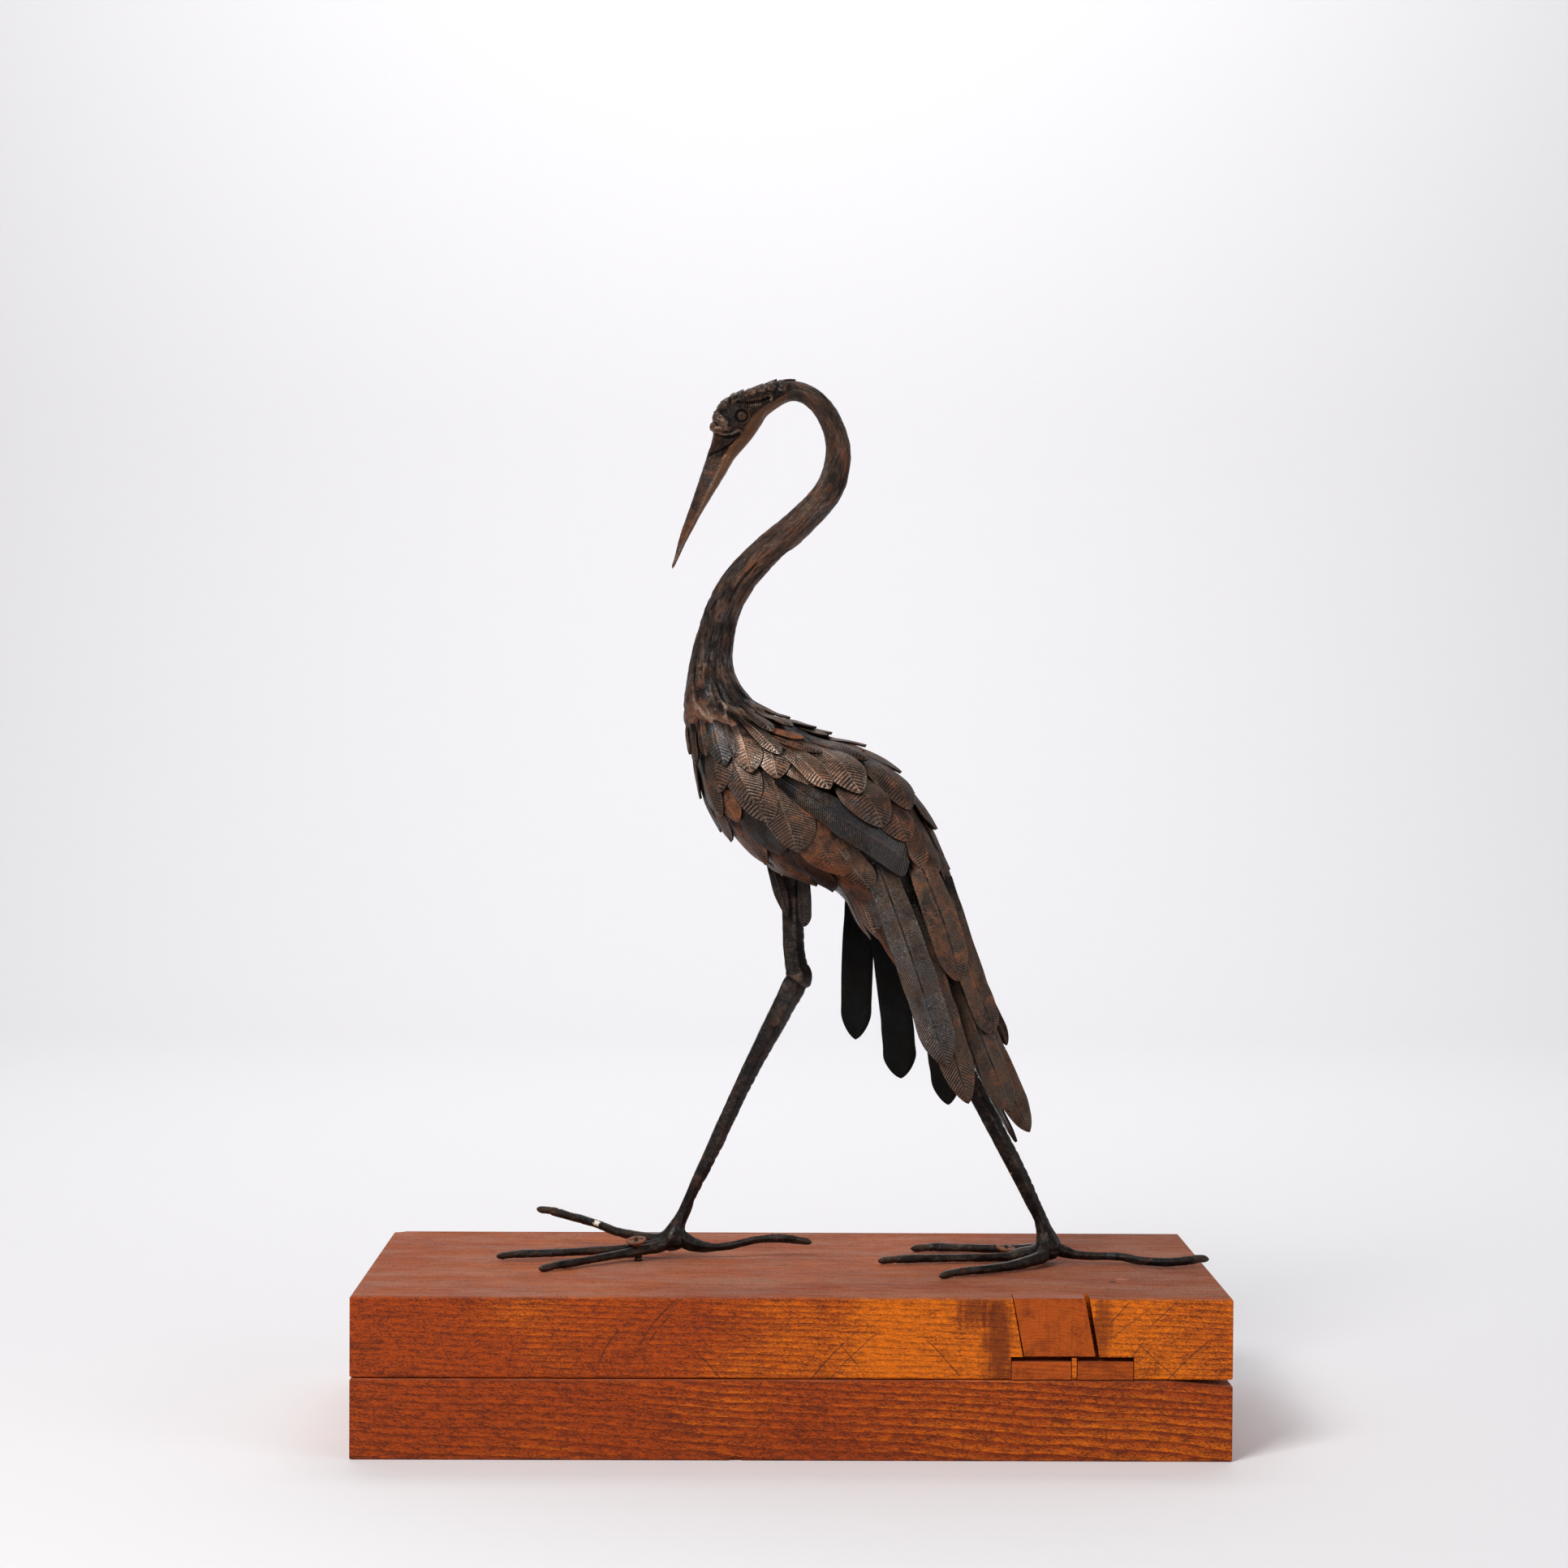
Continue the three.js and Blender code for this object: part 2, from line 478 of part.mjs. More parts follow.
// A leg with its toes and the small feathers on its thigh, clear of the board under it, the body
// above it and the screw beside it.
function leg({ shank, hub, toes, thigh }, cutters) {
  const whole = wasm.Manifold.union([
    bar(shank, SHANK_SIDES, 0),
    lump(hub),
    ...toes.map((toe) => bar(toe, TOE_SIDES, 0)),
    ...thigh.map((feather) => blade(feather, 0)),
  ]);
  return largestPiece(cutters.reduce((solid, cutter) => solid.subtract(cutter), whole));
}

function boxSolid(low, high) {
  const size = high.map((v, k) => v - low[k]);
  const centre = high.map((v, k) => (v + low[k]) / 2);
  return solidOf(new THREE.BoxGeometry(...size).translate(...centre));
}

// A prism between two depths, from an outline in the front face's plane.
function frontPrism(outline, yLow, yHigh) {
  const shape = new THREE.Shape(outline.map(([x, z]) => new THREE.Vector2(x, z)));
  const prism = new THREE.ExtrudeGeometry(shape, { depth: yHigh - yLow, bevelEnabled: false });
  return solidOf(prism.rotateX(Math.PI / 2).translate(0, yHigh, 0));
}

// A sound board: a block with its long and short edges lightly worn.
function boardBlock(low) {
  const halfLength = BASE_LENGTH / 2 - EDGE_WEAR;
  const halfDepth = BASE_DEPTH / 2 - EDGE_WEAR;
  const corners = [[-1, -1], [1, -1], [1, 1], [-1, 1]];
  const shape = new THREE.Shape(corners.map(([x, y]) => new THREE.Vector2(x * halfLength, y * halfDepth)));
  const depth = BOARD_THICKNESS - 2 * EDGE_WEAR;
  const bevel = { bevelSize: EDGE_WEAR, bevelThickness: EDGE_WEAR, bevelSegments: 1, curveSegments: 1 };
  const block = new THREE.ExtrudeGeometry(shape, { depth, bevelEnabled: true, ...bevel });
  return solidOf(block.translate(0, 0, low + EDGE_WEAR));
}

// The lower board falls away at its right end, and has lost a chip from its front bottom edge.
function lowerBoard() {
  const top = BOARD_THICKNESS;
  const warp = frontPrism([
    [WARP.start, top], [WARP.end, top - WARP.drop], [BASE_LENGTH, top - WARP.drop],
    [BASE_LENGTH, top + CUT_BEYOND], [WARP.start, top + CUT_BEYOND],
  ], -BASE_DEPTH, BASE_DEPTH);
  return boardBlock(0).subtract(warp).subtract(lump(EDGE_CHIP));
}

// The wedge's outline in the front face, widened by a gap on either side and taken past its ends.
function wedgeOutline(left, right, beyond) {
  return [
    [WEDGE.bottom[0] - left, WEDGE.low - beyond], [WEDGE.bottom[1] + right, WEDGE.low - beyond],
    [WEDGE.top[1] + right, WEDGE.high + beyond], [WEDGE.top[0] - left, WEDGE.high + beyond],
  ];
}

// A block below the wedge, or the slot for it where it is grown by a gap and open to the front.
function blockBox([left, right], grow, high) {
  const front = -BASE_DEPTH / 2;
  const low = [left - grow, front - (grow > 0 ? CUT_BEYOND : 0), BLOCKS.low - grow];
  return boxSolid(low, [right + grow, front + PATCH_DEPTH + grow, high]);
}

function upperBoard(screws) {
  const front = -BASE_DEPTH / 2;
  const outline = wedgeOutline(...WEDGE_GAPS, CUT_BEYOND);
  const pocket = frontPrism(outline, front - CUT_BEYOND, front + PATCH_DEPTH + BLOCK_GAP);
  const slots = [BLOCKS.left, BLOCKS.right].map((span) => blockBox(span, BLOCK_GAP, BLOCK_SLOT_TOP));
  return [pocket, ...slots, lump(LOST_CORNER), ...screws]
    .reduce((board, cut) => board.subtract(cut), boardBlock(BOARD_THICKNESS + SEAM));
}

function wedgePatch() {
  const front = -BASE_DEPTH / 2;
  return frontPrism(wedgeOutline(0, 0, 0), front + WEDGE_SET_BACK, front + PATCH_DEPTH);
}

// Sets a shape that was made upright about its own Y axis into the board at a screw's slant.
function atScrew(geometry, { foot, lean }) {
  const axis = new THREE.Vector3(...lean).normalize();
  const turn = new THREE.Quaternion().setFromUnitVectors(new THREE.Vector3(0, 1, 0), axis);
  return geometry.applyQuaternion(turn).translate(...foot);
}

// A countersunk screw with a cross in its head and turns of thread where its shank shows.
function screw(place, margin) {
  const { rise } = place;
  const head = SCREW.head + margin;
  const shank = SCREW.shank + margin;
  const neck = rise - SCREW.cone;
  const top = rise + margin;
  const profile = [[0, top], [head - SCREW.crown, top], [head, rise - SCREW.rim], [shank, neck]];
  for (let z = neck - SCREW.rim; z > 0; z -= SCREW.pitch) {
    profile.push([shank, z], [SCREW.thread + margin, z - SCREW.pitch / 2]);
  }
  profile.push([shank, -SCREW.depth - margin], [0, -SCREW.depth - SCREW.point - margin]);
  const outline = profile.map(([r, z]) => new THREE.Vector2(r, z));
  const body = orient(atScrew(new THREE.LatheGeometry(outline, SCREW_SIDES), place));
  const { long, wide, deep } = SCREW_CROSS;
  const cuts = margin > 0 ? [] : [[long, wide], [wide, long]].map(([x, z]) => (
    solidOf(atScrew(new THREE.BoxGeometry(x, deep, z).translate(0, rise, 0), place))
  ));
  return cuts.reduce((solid, cut) => solid.subtract(cut), body);
}

// The hole that a screw has cut into the board.
function screwBore(place) {
  const radius = SCREW.thread + GAP;
  const length = 2 * (SCREW.depth + SCREW.point + GAP);
  return solidOf(atScrew(new THREE.CylinderGeometry(radius, radius, length, BORE_SIDES), place));
}

// The whole part
const group = new THREE.Group();
const screwRoom = [FRONT_SCREW, REAR_SCREW].map((place) => screw(place, GAP));
const boardRoom = boxSolid([-BASE_LENGTH, -BASE_DEPTH, 0], [BASE_LENGTH, BASE_DEPTH, BASE_TOP + GAP]);
const bodyRoom = birdBody(BODY_CLEARANCE);
const legSolids = [RIGHT_LEG, LEFT_LEG].map((shape) => leg(shape, [boardRoom, bodyRoom, ...screwRoom]));
const taken = [bodyRoom, bar(RIGHT_LEG.shank, SHANK_SIDES, GAP), bar(LEFT_LEG.shank, SHANK_SIDES, GAP)]
  .reduce((all, solid) => all.add(solid));

group.add(
  nodeOf(lowerBoard(), 'lower_board', BOARD_WOOD),
  nodeOf(upperBoard([FRONT_SCREW, REAR_SCREW].map(screwBore)), 'upper_board', BOARD_WOOD),
  nodeOf(wedgePatch(), 'wedge_patch', PATCH_WOOD),
  nodeOf(blockBox(BLOCKS.left, 0, BLOCKS.high), 'left_patch_block', PATCH_WOOD),
  nodeOf(blockBox(BLOCKS.right, 0, BLOCKS.high), 'right_patch_block', PATCH_WOOD),
  nodeOf(screw(FRONT_SCREW, 0), 'front_screw', SCREW_METAL),
  nodeOf(screw(REAR_SCREW, 0), 'rear_screw', SCREW_METAL),
  nodeOf(legSolids[0], 'right_leg', LEG_METAL),
  nodeOf(legSolids[1], 'left_leg', LEG_METAL),
  nodeOf(largestPiece(birdBody(0)), 'body_neck_and_head', BODY_METAL),
  ...longFeathers(taken),
);

export default group;
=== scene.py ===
"""A metal crane striding over a base of two boards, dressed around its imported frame.

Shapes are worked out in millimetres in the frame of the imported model: X towards the tail, Y away
from the side that is shown, Z up, from the centre of the base's underside. MM turns them into
metres when a mesh is made.
"""
import math

import bpy
import numpy as np
from mathutils import Matrix, Vector


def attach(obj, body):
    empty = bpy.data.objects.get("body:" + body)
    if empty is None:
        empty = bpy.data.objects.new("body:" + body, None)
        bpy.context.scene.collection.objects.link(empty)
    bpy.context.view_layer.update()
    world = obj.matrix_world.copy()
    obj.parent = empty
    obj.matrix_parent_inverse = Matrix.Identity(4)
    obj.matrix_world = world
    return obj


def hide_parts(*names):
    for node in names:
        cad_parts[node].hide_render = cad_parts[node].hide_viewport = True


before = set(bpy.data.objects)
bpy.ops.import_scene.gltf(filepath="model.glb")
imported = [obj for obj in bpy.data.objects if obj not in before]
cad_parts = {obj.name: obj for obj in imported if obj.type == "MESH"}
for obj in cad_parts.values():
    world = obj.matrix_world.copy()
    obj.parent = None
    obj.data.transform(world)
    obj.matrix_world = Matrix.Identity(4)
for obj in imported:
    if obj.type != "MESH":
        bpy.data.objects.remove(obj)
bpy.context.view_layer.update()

bl_info = {
    "name": "Striding crane on two boards",
    "version": (1, 0, 0),
    "blender": (4, 5, 0),
    "location": "View3D > Sidebar > Crane",
    "description": "Feathers, carved head, forged legs and varnished boards of a metal crane",
    "category": "Add Mesh",
}

MM = 0.001
TURN = 2 * np.pi
# The plane of symmetry of the bird, and the top of the boards.
PLANE_Y, BASE_TOP = 9.0, 91.0
# The camera's place in metres, and its yaw, pitch and roll in degrees.
CAMERA_PLACE, CAMERA_TURN = (-0.0269, -1.8216, 0.4092), (0.693, -1.121, 0.321)

# The bird's outline as ribs, from the beak's tip to the root of the tail: the point on the back or
# crown, the point on the throat or belly, and half the width across.
BEAK_RIBS = [
    (-71.6, 500.2, -71.2, 500.0, 0.4), (-66.9, 519.6, -63.0, 517.2, 1.9),
    (-61.2, 536.3, -55.5, 530.6, 3.0), (-55.6, 553.1, -47.4, 544.1, 4.3),
    (-50.9, 567.5, -40.7, 555.1, 5.4), (-48.0, 577.0, -37.4, 560.9, 6.4),
]
HEAD_RIBS = [
    (-47.1, 586.6, -35.1, 564.7, 8.5), (-43.3, 595.1, -32.7, 567.6, 10.5),
    (-37.5, 600.9, -29.4, 571.4, 11.3), (-29.5, 604.3, -24.6, 577.2, 10.8),
    (-20.9, 607.2, -19.4, 584.9, 9.8), (-11.4, 610.0, -15.1, 591.1, 8.8),
]
NECK_RIBS = [
    (-1.8, 611.4, -3.2, 598.6, 7.2), (11.6, 607.5, 5.4, 597.0, 6.3),
    (22.7, 597.1, 13.1, 589.8, 6.1), (30.4, 582.3, 17.7, 578.9, 6.6),
    (33.4, 567.1, 18.5, 566.5, 7.4), (30.6, 548.9, 14.8, 553.6, 8.3),
    (22.1, 534.0, 8.1, 544.0, 8.6), (7.8, 519.6, -3.8, 532.9, 8.8),
    (-9.4, 504.6, -23.3, 516.0, 9.2), (-23.6, 488.3, -40.5, 498.2, 10.0),
    (-31.2, 473.9, -51.4, 478.5, 10.8), (-35.0, 457.6, -57.0, 460.3, 11.8),
    (-35.4, 444.2, -60.8, 445.5, 13.2), (-32.0, 433.7, -62.9, 432.5, 15.5),
]
BODY_RIBS = [
    (-23.8, 423.7, -64.0, 421.0, 18.5), (-12.5, 414.5, -62.5, 409.5, 22.0),
    (2.5, 408.0, -60.0, 396.9, 26.0), (20.5, 400.5, -56.0, 381.5, 30.0),
    (38.5, 394.0, -50.0, 364.0, 34.0), (54.0, 384.5, -39.0, 347.2, 37.0),
    (68.0, 370.0, -25.5, 335.3, 38.5), (77.5, 354.0, -10.5, 324.0, 38.0),
    (84.5, 337.0, 9.5, 317.4, 35.0), (90.0, 320.5, 27.0, 309.5, 31.0),
    (94.0, 302.0, 42.0, 292.0, 26.0), (96.5, 285.0, 57.0, 278.0, 20.0),
    (97.5, 268.0, 72.0, 262.0, 12.0),
]
RIBS = np.array(BEAK_RIBS + HEAD_RIBS + NECK_RIBS + BODY_RIBS)
# Stretches of the skin: first and last rib, and the spacing of its rows.
SKINS = {
    "beak_and_head_skin": [(0, 5, 0.7), (5, 12, 0.32)],
    "neck_and_body_skin": [(12, 27.4, 0.75), (27.4, 38, 3.0)],
}
SKIN_COLUMNS = 208
BEAK_SWELL = 1.55  # how much wider the beak would be as a full ellipse
# Ribs over which the beak's flat sides turn round, the head's carving fades, the furrows of the
# neck set in, grow rough and fade, and the skin goes under the coat. The neck ends at a hem.
BEAK_ROUNDS, HEAD_FADES, FURROWS_START = (8, 5), (11.5, 12.3), (11.6, 13.0)
FURROWS_GROW, FURROWS_FADE, COAT_COVERS, HEM = (15, 25), (27.6, 28.6), (27.3, 28.2), 26.9
BODY_NODES = ("body_neck_and_head",)

# How a feather's metal looks: shares of rust, steel blue and bright wear, the strength of its
# barbs, and its tone from dark to light.
FINISHES = {
    "brown": (0.46, 0.12, 0.50, 0.50, 0.38),
    "rusty": (0.70, 0.04, 0.50, 0.50, 0.36),
    "rust": (1.00, 0.00, 0.30, 0.40, 0.40),
    "orange": (1.15, 0.00, 0.30, 0.25, 0.75),
    "pale": (0.35, 0.14, 0.90, 0.40, 0.84),
    "flecked": (0.50, 0.30, 1.00, 0.50, 0.75),
    "ribbed": (0.42, 0.12, 0.65, 0.80, 0.42),
    "blue": (0.05, 0.55, 0.45, 0.70, 0.40),
    "steel": (0.15, 0.65, 0.80, 0.90, 0.25),
    "dark": (0.05, 0.35, 0.15, 0.45, 0.05),
    # shadowed paints shade: a dark steel finish at the lowest tone, for feathers that lie in shade.
    "shadowed": (0.10, 0.60, 0.35, 0.80, 0.0),
}

# Small feathers of one side, from the collar down. A feather's quill runs from a root to a tip,
# each a rib number and an angle around the body, 0 on the back and 180 under the breast. Then
# come its width, how far its tip stands above the common height, and its finish.
COLLAR = [
    ((26.8, 179), (28.4, 164), 5, 0.0, "brown"), ((26.8, 151), (28.8, 156), 6, 0.0, "brown"),
    ((26.8, 133), (28.6, 136), 7, 0.6, "brown"), ((26.9, 110), (29.1, 123), 13, 0.6, "blue"),
    ((27.2, 96), (28.9, 111), 6, 1.2, "blue"), ((27.4, 86), (29.6, 107), 15, 1.8, "pale"),
    ((27.0, 71), (29.3, 81), 9, 2.0, "pale"), ((28.1, 75), (30.1, 95), 16, 1.4, "pale"),
    ((26.3, 31), (28.3, 44), 7, 0.8, "brown"), ((26.2, 55), (28.3, 67), 8, 0.6, "brown"),
    ((27.5, 61), (29.0, 53), 10, 1.6, "orange"), ((27.9, 68), (29.8, 56), 10, 1.2, "rusty"),
    ((28.4, 30), (30.7, 34), 14, 1.2, "brown"),
]
# These lie over the root of the wing bar.
SCAPULARS = [
    ((28.2, 68), (31.1, 76), 12, 6.0, "flecked"), ((28.7, 46), (31.6, 64), 19, 6.0, "flecked"),
    ((30.2, 50), (32.8, 67), 22, 6.5, "brown"), ((31.3, 45), (33.5, 58), 20, 5.0, "rusty"),
    ((30.0, 20), (32.6, 40), 21, 3.0, "brown"), ((32.0, 26), (35.0, 50), 19, 2.0, "rusty"),
]
BREAST = [
    ((28.1, 130), (29.9, 138), 18, 0.4, "brown"), ((28.4, 111), (30.6, 118), 21, 0.8, "ribbed"),
    ((28.8, 103), (31.3, 121), 22, 0.2, "ribbed"), ((28.3, 178), (29.9, 177), 7, 0.0, "brown"),
    ((28.6, 152), (30.6, 152), 15, 0.0, "brown"), ((29.6, 139), (30.9, 140), 13, 0.3, "orange"),
    ((29.9, 124), (32.5, 133), 22, 0.0, "dark"), ((29.0, 172), (31.0, 176), 9, -0.3, "dark"),
    ((30.0, 159), (31.4, 168), 13, 0.0, "brown"), ((30.4, 148), (32.6, 155), 18, 0.0, "rusty"),
    ((29.5, 95), (32.6, 121), 24, 0.5, "ribbed"), ((29.6, 90), (31.8, 94), 10, 1.0, "orange"),
    ((29.3, 90), (32.2, 81), 10, 2.6, "pale"), ((28.8, 87), (30.9, 83), 9, 2.0, "flecked"),
    ((30.5, 90), (34.0, 115), 23, 0.3, "rust"), ((31.1, 87), (34.8, 109), 18, 0.2, "ribbed"),
    ((31.9, 143), (33.9, 151), 15, -0.3, "rusty"), ((31.8, 121), (34.6, 147), 17, -0.2, "dark"),
    ((32.0, 177), (34.2, 158), 10, -0.6, "pale"), ((34.1, 130), (36.5, 172), 7, 0.4, "rusty"),
    ((33.3, 115), (36.7, 139), 15, 0.3, "rust"), ((34.4, 111), (36.8, 132), 11, 1.0, "blue"),
    ((36.0, 137), (37.8, 170), 11, 0.0, "rust"), ((34.3, 124), (36.2, 137), 6, 1.6, "flecked"),
    ((34.7, 114), (36.1, 129), 6, 1.8, "blue"), ((36.2, 146), (37.6, 176), 6, 0.8, "orange"),
]
COAT = COLLAR + SCAPULARS + BREAST
# Feathers that straddle the ridge of the back, in the same way.
RIDGE = [
    ((26.0, 6), (27.8, 21), 6, 0.4, "brown"), ((27.2, 4), (28.6, 10), 7, 0.4, "brown"),
    ((27.9, 4), (29.1, 7), 9, 0.6, "rusty"), ((28.7, 5), (30.2, 6), 11, 0.6, "brown"),
    ((29.6, 6), (31.5, 7), 13, 0.6, "brown"), ((31.1, 8), (33.5, 8), 15, 0.6, "brown"),
    ((33.0, 5), (34.9, 6), 12, 0.0, "dark"), ((32.4, 14), (36.1, 14), 15, 0.6, "brown"),
    ((27.8, 1), (29.1, 21), 9, -0.5, "brown"), ((28.6, 1), (30.3, 21), 11, -0.8, "rusty"),
    ((30.3, 1), (32.2, 14), 12, -0.6, "rusty"), ((31.9, 1), (34.4, 12), 11, -0.5, "brown"),
]

# Long feathers of the wings and tail: root, middle and tip of the quill, width, turn about the
# quill in degrees from facing the near side, root width share, rounded tip share, and the finish.
LONG_FEATHERS = {
    "left_wing_bar": (
        (-9, -29, 378), (31, -37, 354), (68, -27, 329), 20, -14, 0.35, 0.08, "shadowed",
    ),
    "left_flight_feather_1": (
        (47, -24, 334), (69, -29, 272), (91, -20, 209), 21, 4, 0.8, 0.6, "steel",
    ),
    "left_flight_feather_2": (
        (71, -19.5, 335), (87, -26, 298), (98, -21, 259), 20, -12, 0.7, 0.6, "rusty",
    ),
    "left_flight_feather_3": (
        (62, -18, 310), (83, -21, 255), (104, -13, 187), 20, 2, 0.7, 0.6, "ribbed",
    ),
    "left_flight_feather_4": (
        (89, -4, 320), (104, -17, 269), (119.5, -10, 228), 18, -30, 0.7, 0.5, "rusty",
    ),
    "tail_feather_1": (
        (92, -2, 276), (114, -9, 222), (129, -7, 181.5), 17, -10, 0.7, 0.8, "brown",
    ),
    "tail_feather_2": ((97, 9, 272), (119.5, 5, 215), (142, 7, 168), 16, -12, 0.7, 0.9, "rusty"),
    "tail_feather_3": ((98, 15, 272), (116, 19, 244), (129, 20, 218), 9, 12, 0.8, 0.9, "brown"),
    "tail_feather_4": ((90, 13, 266), (108, 13, 212), (134, 13, 161), 12, 72, 0.6, 0.9, "dark"),
    "tail_feather_5": ((93, 20, 272), (112, 26, 226), (131, 25, 184), 17, 14, 0.7, 0.8, "brown"),
    "right_wing_bar": (
        (-9, 47, 378), (31, 55, 354), (68, 45, 329), 20, 194, 0.35, 0.08, "shadowed",
    ),
    "right_flight_feather_1": (
        (42, 36, 322), (41, 44, 268), (39.5, 41, 219), 19, 176, 0.9, 0.6, "steel",
    ),
    "right_flight_feather_2": (
        (52, 35, 318), (61, 41, 252), (67, 38, 196), 20, 178, 0.9, 0.45, "steel",
    ),
    "right_flight_feather_3": (
        (71, 37.5, 335), (87, 44, 298), (98, 40, 259), 20, 192, 0.7, 0.6, "rusty",
    ),
    "right_flight_feather_4": (
        (72, 27, 300), (87, 33, 236), (95, 32, 181), 19, 176, 0.8, 0.6, "brown",
    ),
    "right_flight_feather_5": (
        (89, 22, 320), (104, 35, 270), (118, 29, 230), 18, 210, 0.7, 0.5, "rusty",
    ),
}

FEATHER_SHARES = ("rust", "steel", "wear", "tone")
CAMBER = 0.07  # height of a feather's middle above its edges, as a share of its width
# Places across a feather's upper face and back across its underside, -1 and 1 at the edges.
TOP_COLUMNS = np.array([
    -1, -0.95, -0.8, -0.55, -0.32, -0.18, -0.09, 0, 0.09, 0.18, 0.32, 0.55, 0.8, 0.95, 1,
])
UNDER_COLUMNS = np.array([1, 0.6, 0, -0.6, -1])

# Legs and toes: points along each bar with the bar's half width there. A hub is a ball, given by
# its centre and half sizes, and a thigh's feathers are given as the long feathers are.
LEGS = {
    "right_leg": {
        "shank": [
            (0, 25, 320, 7), (0.7, 22.5, 284, 7), (2.4, 20.6, 266, 7.2), (4.4, 20, 259.5, 8.3),
            (1.5, 20, 253.5, 8.0), (-5.6, 19.5, 239.5, 7.2), (-18.2, 18.5, 215, 6.1),
            (-30.2, 17.5, 190.6, 5.4), (-45.9, 16, 156.4, 4.7), (-56.8, 15, 133.3, 3.9),
            (-63.6, 14.5, 118.5, 3.5), (-69, 14, 105, 6),
        ],
        "knee": 257.0,
        "hub": (-70, 13.5, 101, 7.6, 6.2, 5.2),
        "flare": [
            (-58.2, 15, 129, 2.2), (-61, 15, 122, 3.2), (-65.5, 14.5, 113, 4.4),
            (-68.5, 14, 106, 6.8), (-70, 14, 101, 7.6), (-70.5, 14, 96, 3),
        ],
        "thigh": [
            ((-11.5, 15, 326), (-6.8, 13.2, 309), (-2, 13.2, 294.5), 8.6, -8, 0.7, 1.9, "brown"),
            ((5.6, 18, 324), (7.4, 16.2, 306), (7.8, 15.8, 288.5), 8.4, 16, 0.9, 0.5, "shadowed"),
        ],
        "toes": [
            [
                (-65, 15, 114, 3.0), (-69.5, 15.5, 107.5, 4.4), (-76, 18, 102.4, 4.2),
                (-86, 22, 102.4, 3.2), (-103, 29, 104.7, 2.8), (-115.6, 36, 108.2, 2.7),
                (-133.3, 47, 111.3, 2.6), (-144, 52.5, 113.2, 2.5), (-153, 58, 113.2, 0.9),
            ],
            [
                (-65, 14, 114, 3.0), (-69.5, 13, 106, 4.4), (-76, 12, 100.6, 4.2),
                (-86, 11, 98.8, 3.4), (-97.5, 8.5, 98, 2.7), (-131, 6.8, 96, 2.5),
                (-159.6, 5.1, 95, 2.6), (-173, 3.4, 93.8, 0.9),
            ],
            [
                (-65, 13, 114, 3.0), (-69.5, 12, 106, 4.4), (-75.5, 10, 100.2, 4.2),
                (-84, 7, 98, 3.5), (-102, -2.2, 95.9, 2.7), (-120, -15.3, 94.8, 2.5),
                (-133.7, -27.1, 94.4, 2.6), (-145.5, -34.1, 93, 0.9),
            ],
            [
                (-65.5, 14.5, 115, 3.0), (-66.5, 14, 107, 4.6), (-61.5, 14.3, 101, 4.8),
                (-54.3, 14.9, 98.4, 4.0), (-44.7, 15.4, 97.4, 2.7), (-35, 15.4, 98.5, 2.5),
                (-20.6, 17.5, 101.5, 2.4), (-6.1, 18, 102.5, 2.7), (5, 18, 101.4, 2.4),
                (13.3, 18.6, 100, 0.9),
            ],
        ],
    },
    "left_leg": {
        "shank": [
            (50, -5, 312, 7), (61.9, -3, 281.4, 7), (73, -2, 262, 7.4), (77, -1.8, 254, 8.2),
            (81, -1, 244, 7.4), (96, 0, 216.7, 6.3), (115.4, 1, 180.7, 5.6), (135, 2, 143.6, 5.3),
            (147, 2.4, 119, 4.3), (150.5, 2.4, 110.5, 4.2), (153, 2.2, 103, 6),
        ],
        "knee": 252.0,
        "hub": (152, 1, 98.6, 8.0, 7.0, 5.4),
        "flare": [
            (145.6, 2.4, 124, 2.6), (148.2, 2.4, 117, 3.9), (150.4, 2.2, 110, 5.2),
            (152, 2, 104, 7.4), (152.6, 1.5, 99.5, 8.0), (152.8, 1.2, 95, 3),
        ],
        "thigh": [],
        "toes": [
            [
                (150.4, 3, 110, 3.4), (150.8, 4.5, 102.6, 4.5), (149, 8, 98.6, 4.5),
                (143.5, 14.5, 97.2, 4.1), (134, 23, 96, 3), (106.5, 34, 94.7, 2.7),
                (87, 38.8, 94.4, 2.6), (73.5, 38.8, 93.2, 0.9),
            ],
            [
                (150.2, 1.5, 110, 3.4), (149.8, 1.5, 102.4, 4.6), (145, 1.8, 98, 4.7),
                (137, 2.5, 96.6, 4.3), (128, 2.6, 95, 2.9), (99.2, 1.1, 94.3, 2.6),
                (65.4, -3.6, 94.3, 2.6), (52, -4, 93, 0.9),
            ],
            [
                (150.4, 0.5, 110, 3.4), (150.8, -2, 102.6, 4.5), (149, -6.5, 98.4, 4.5),
                (145.5, -14, 96.8, 4.2), (125.4, -30.2, 94.8, 2.9), (98, -45.5, 94.4, 2.6),
                (85, -52.8, 93, 0.9),
            ],
            [
                (151, 1.8, 112, 3.4), (153, 1.6, 104, 4.6), (156.5, 1.4, 100, 4.5),
                (163, 1, 97.6, 3.8), (171, 0.5, 96, 2.8), (195, -1.6, 95.4, 2.6),
                (208, -9.5, 94.5, 2.7), (221.7, -13, 94.4, 2.6), (234.4, -10.7, 95, 2.7),
                (241, -9.5, 96, 2.3), (246.4, -9, 95.5, 0.9),
            ],
        ],
    },
}
NAIL_LENGTH = 12.5
# Screws: where the axis meets the top of the boards, the way it leans, and how far it stands out.
SCREWS = {
    "front_screw": {"foot": (-89.3, 6.2, BASE_TOP), "lean": (-0.1, -0.2, 1), "rise": 13.6},
    "rear_screw": {"foot": (127.5, 11.3, BASE_TOP), "lean": (0.16, -0.1, 1), "rise": 8.4},
}
SCREW_DEPTH, SCREW_PITCH = 28.0, 2.2
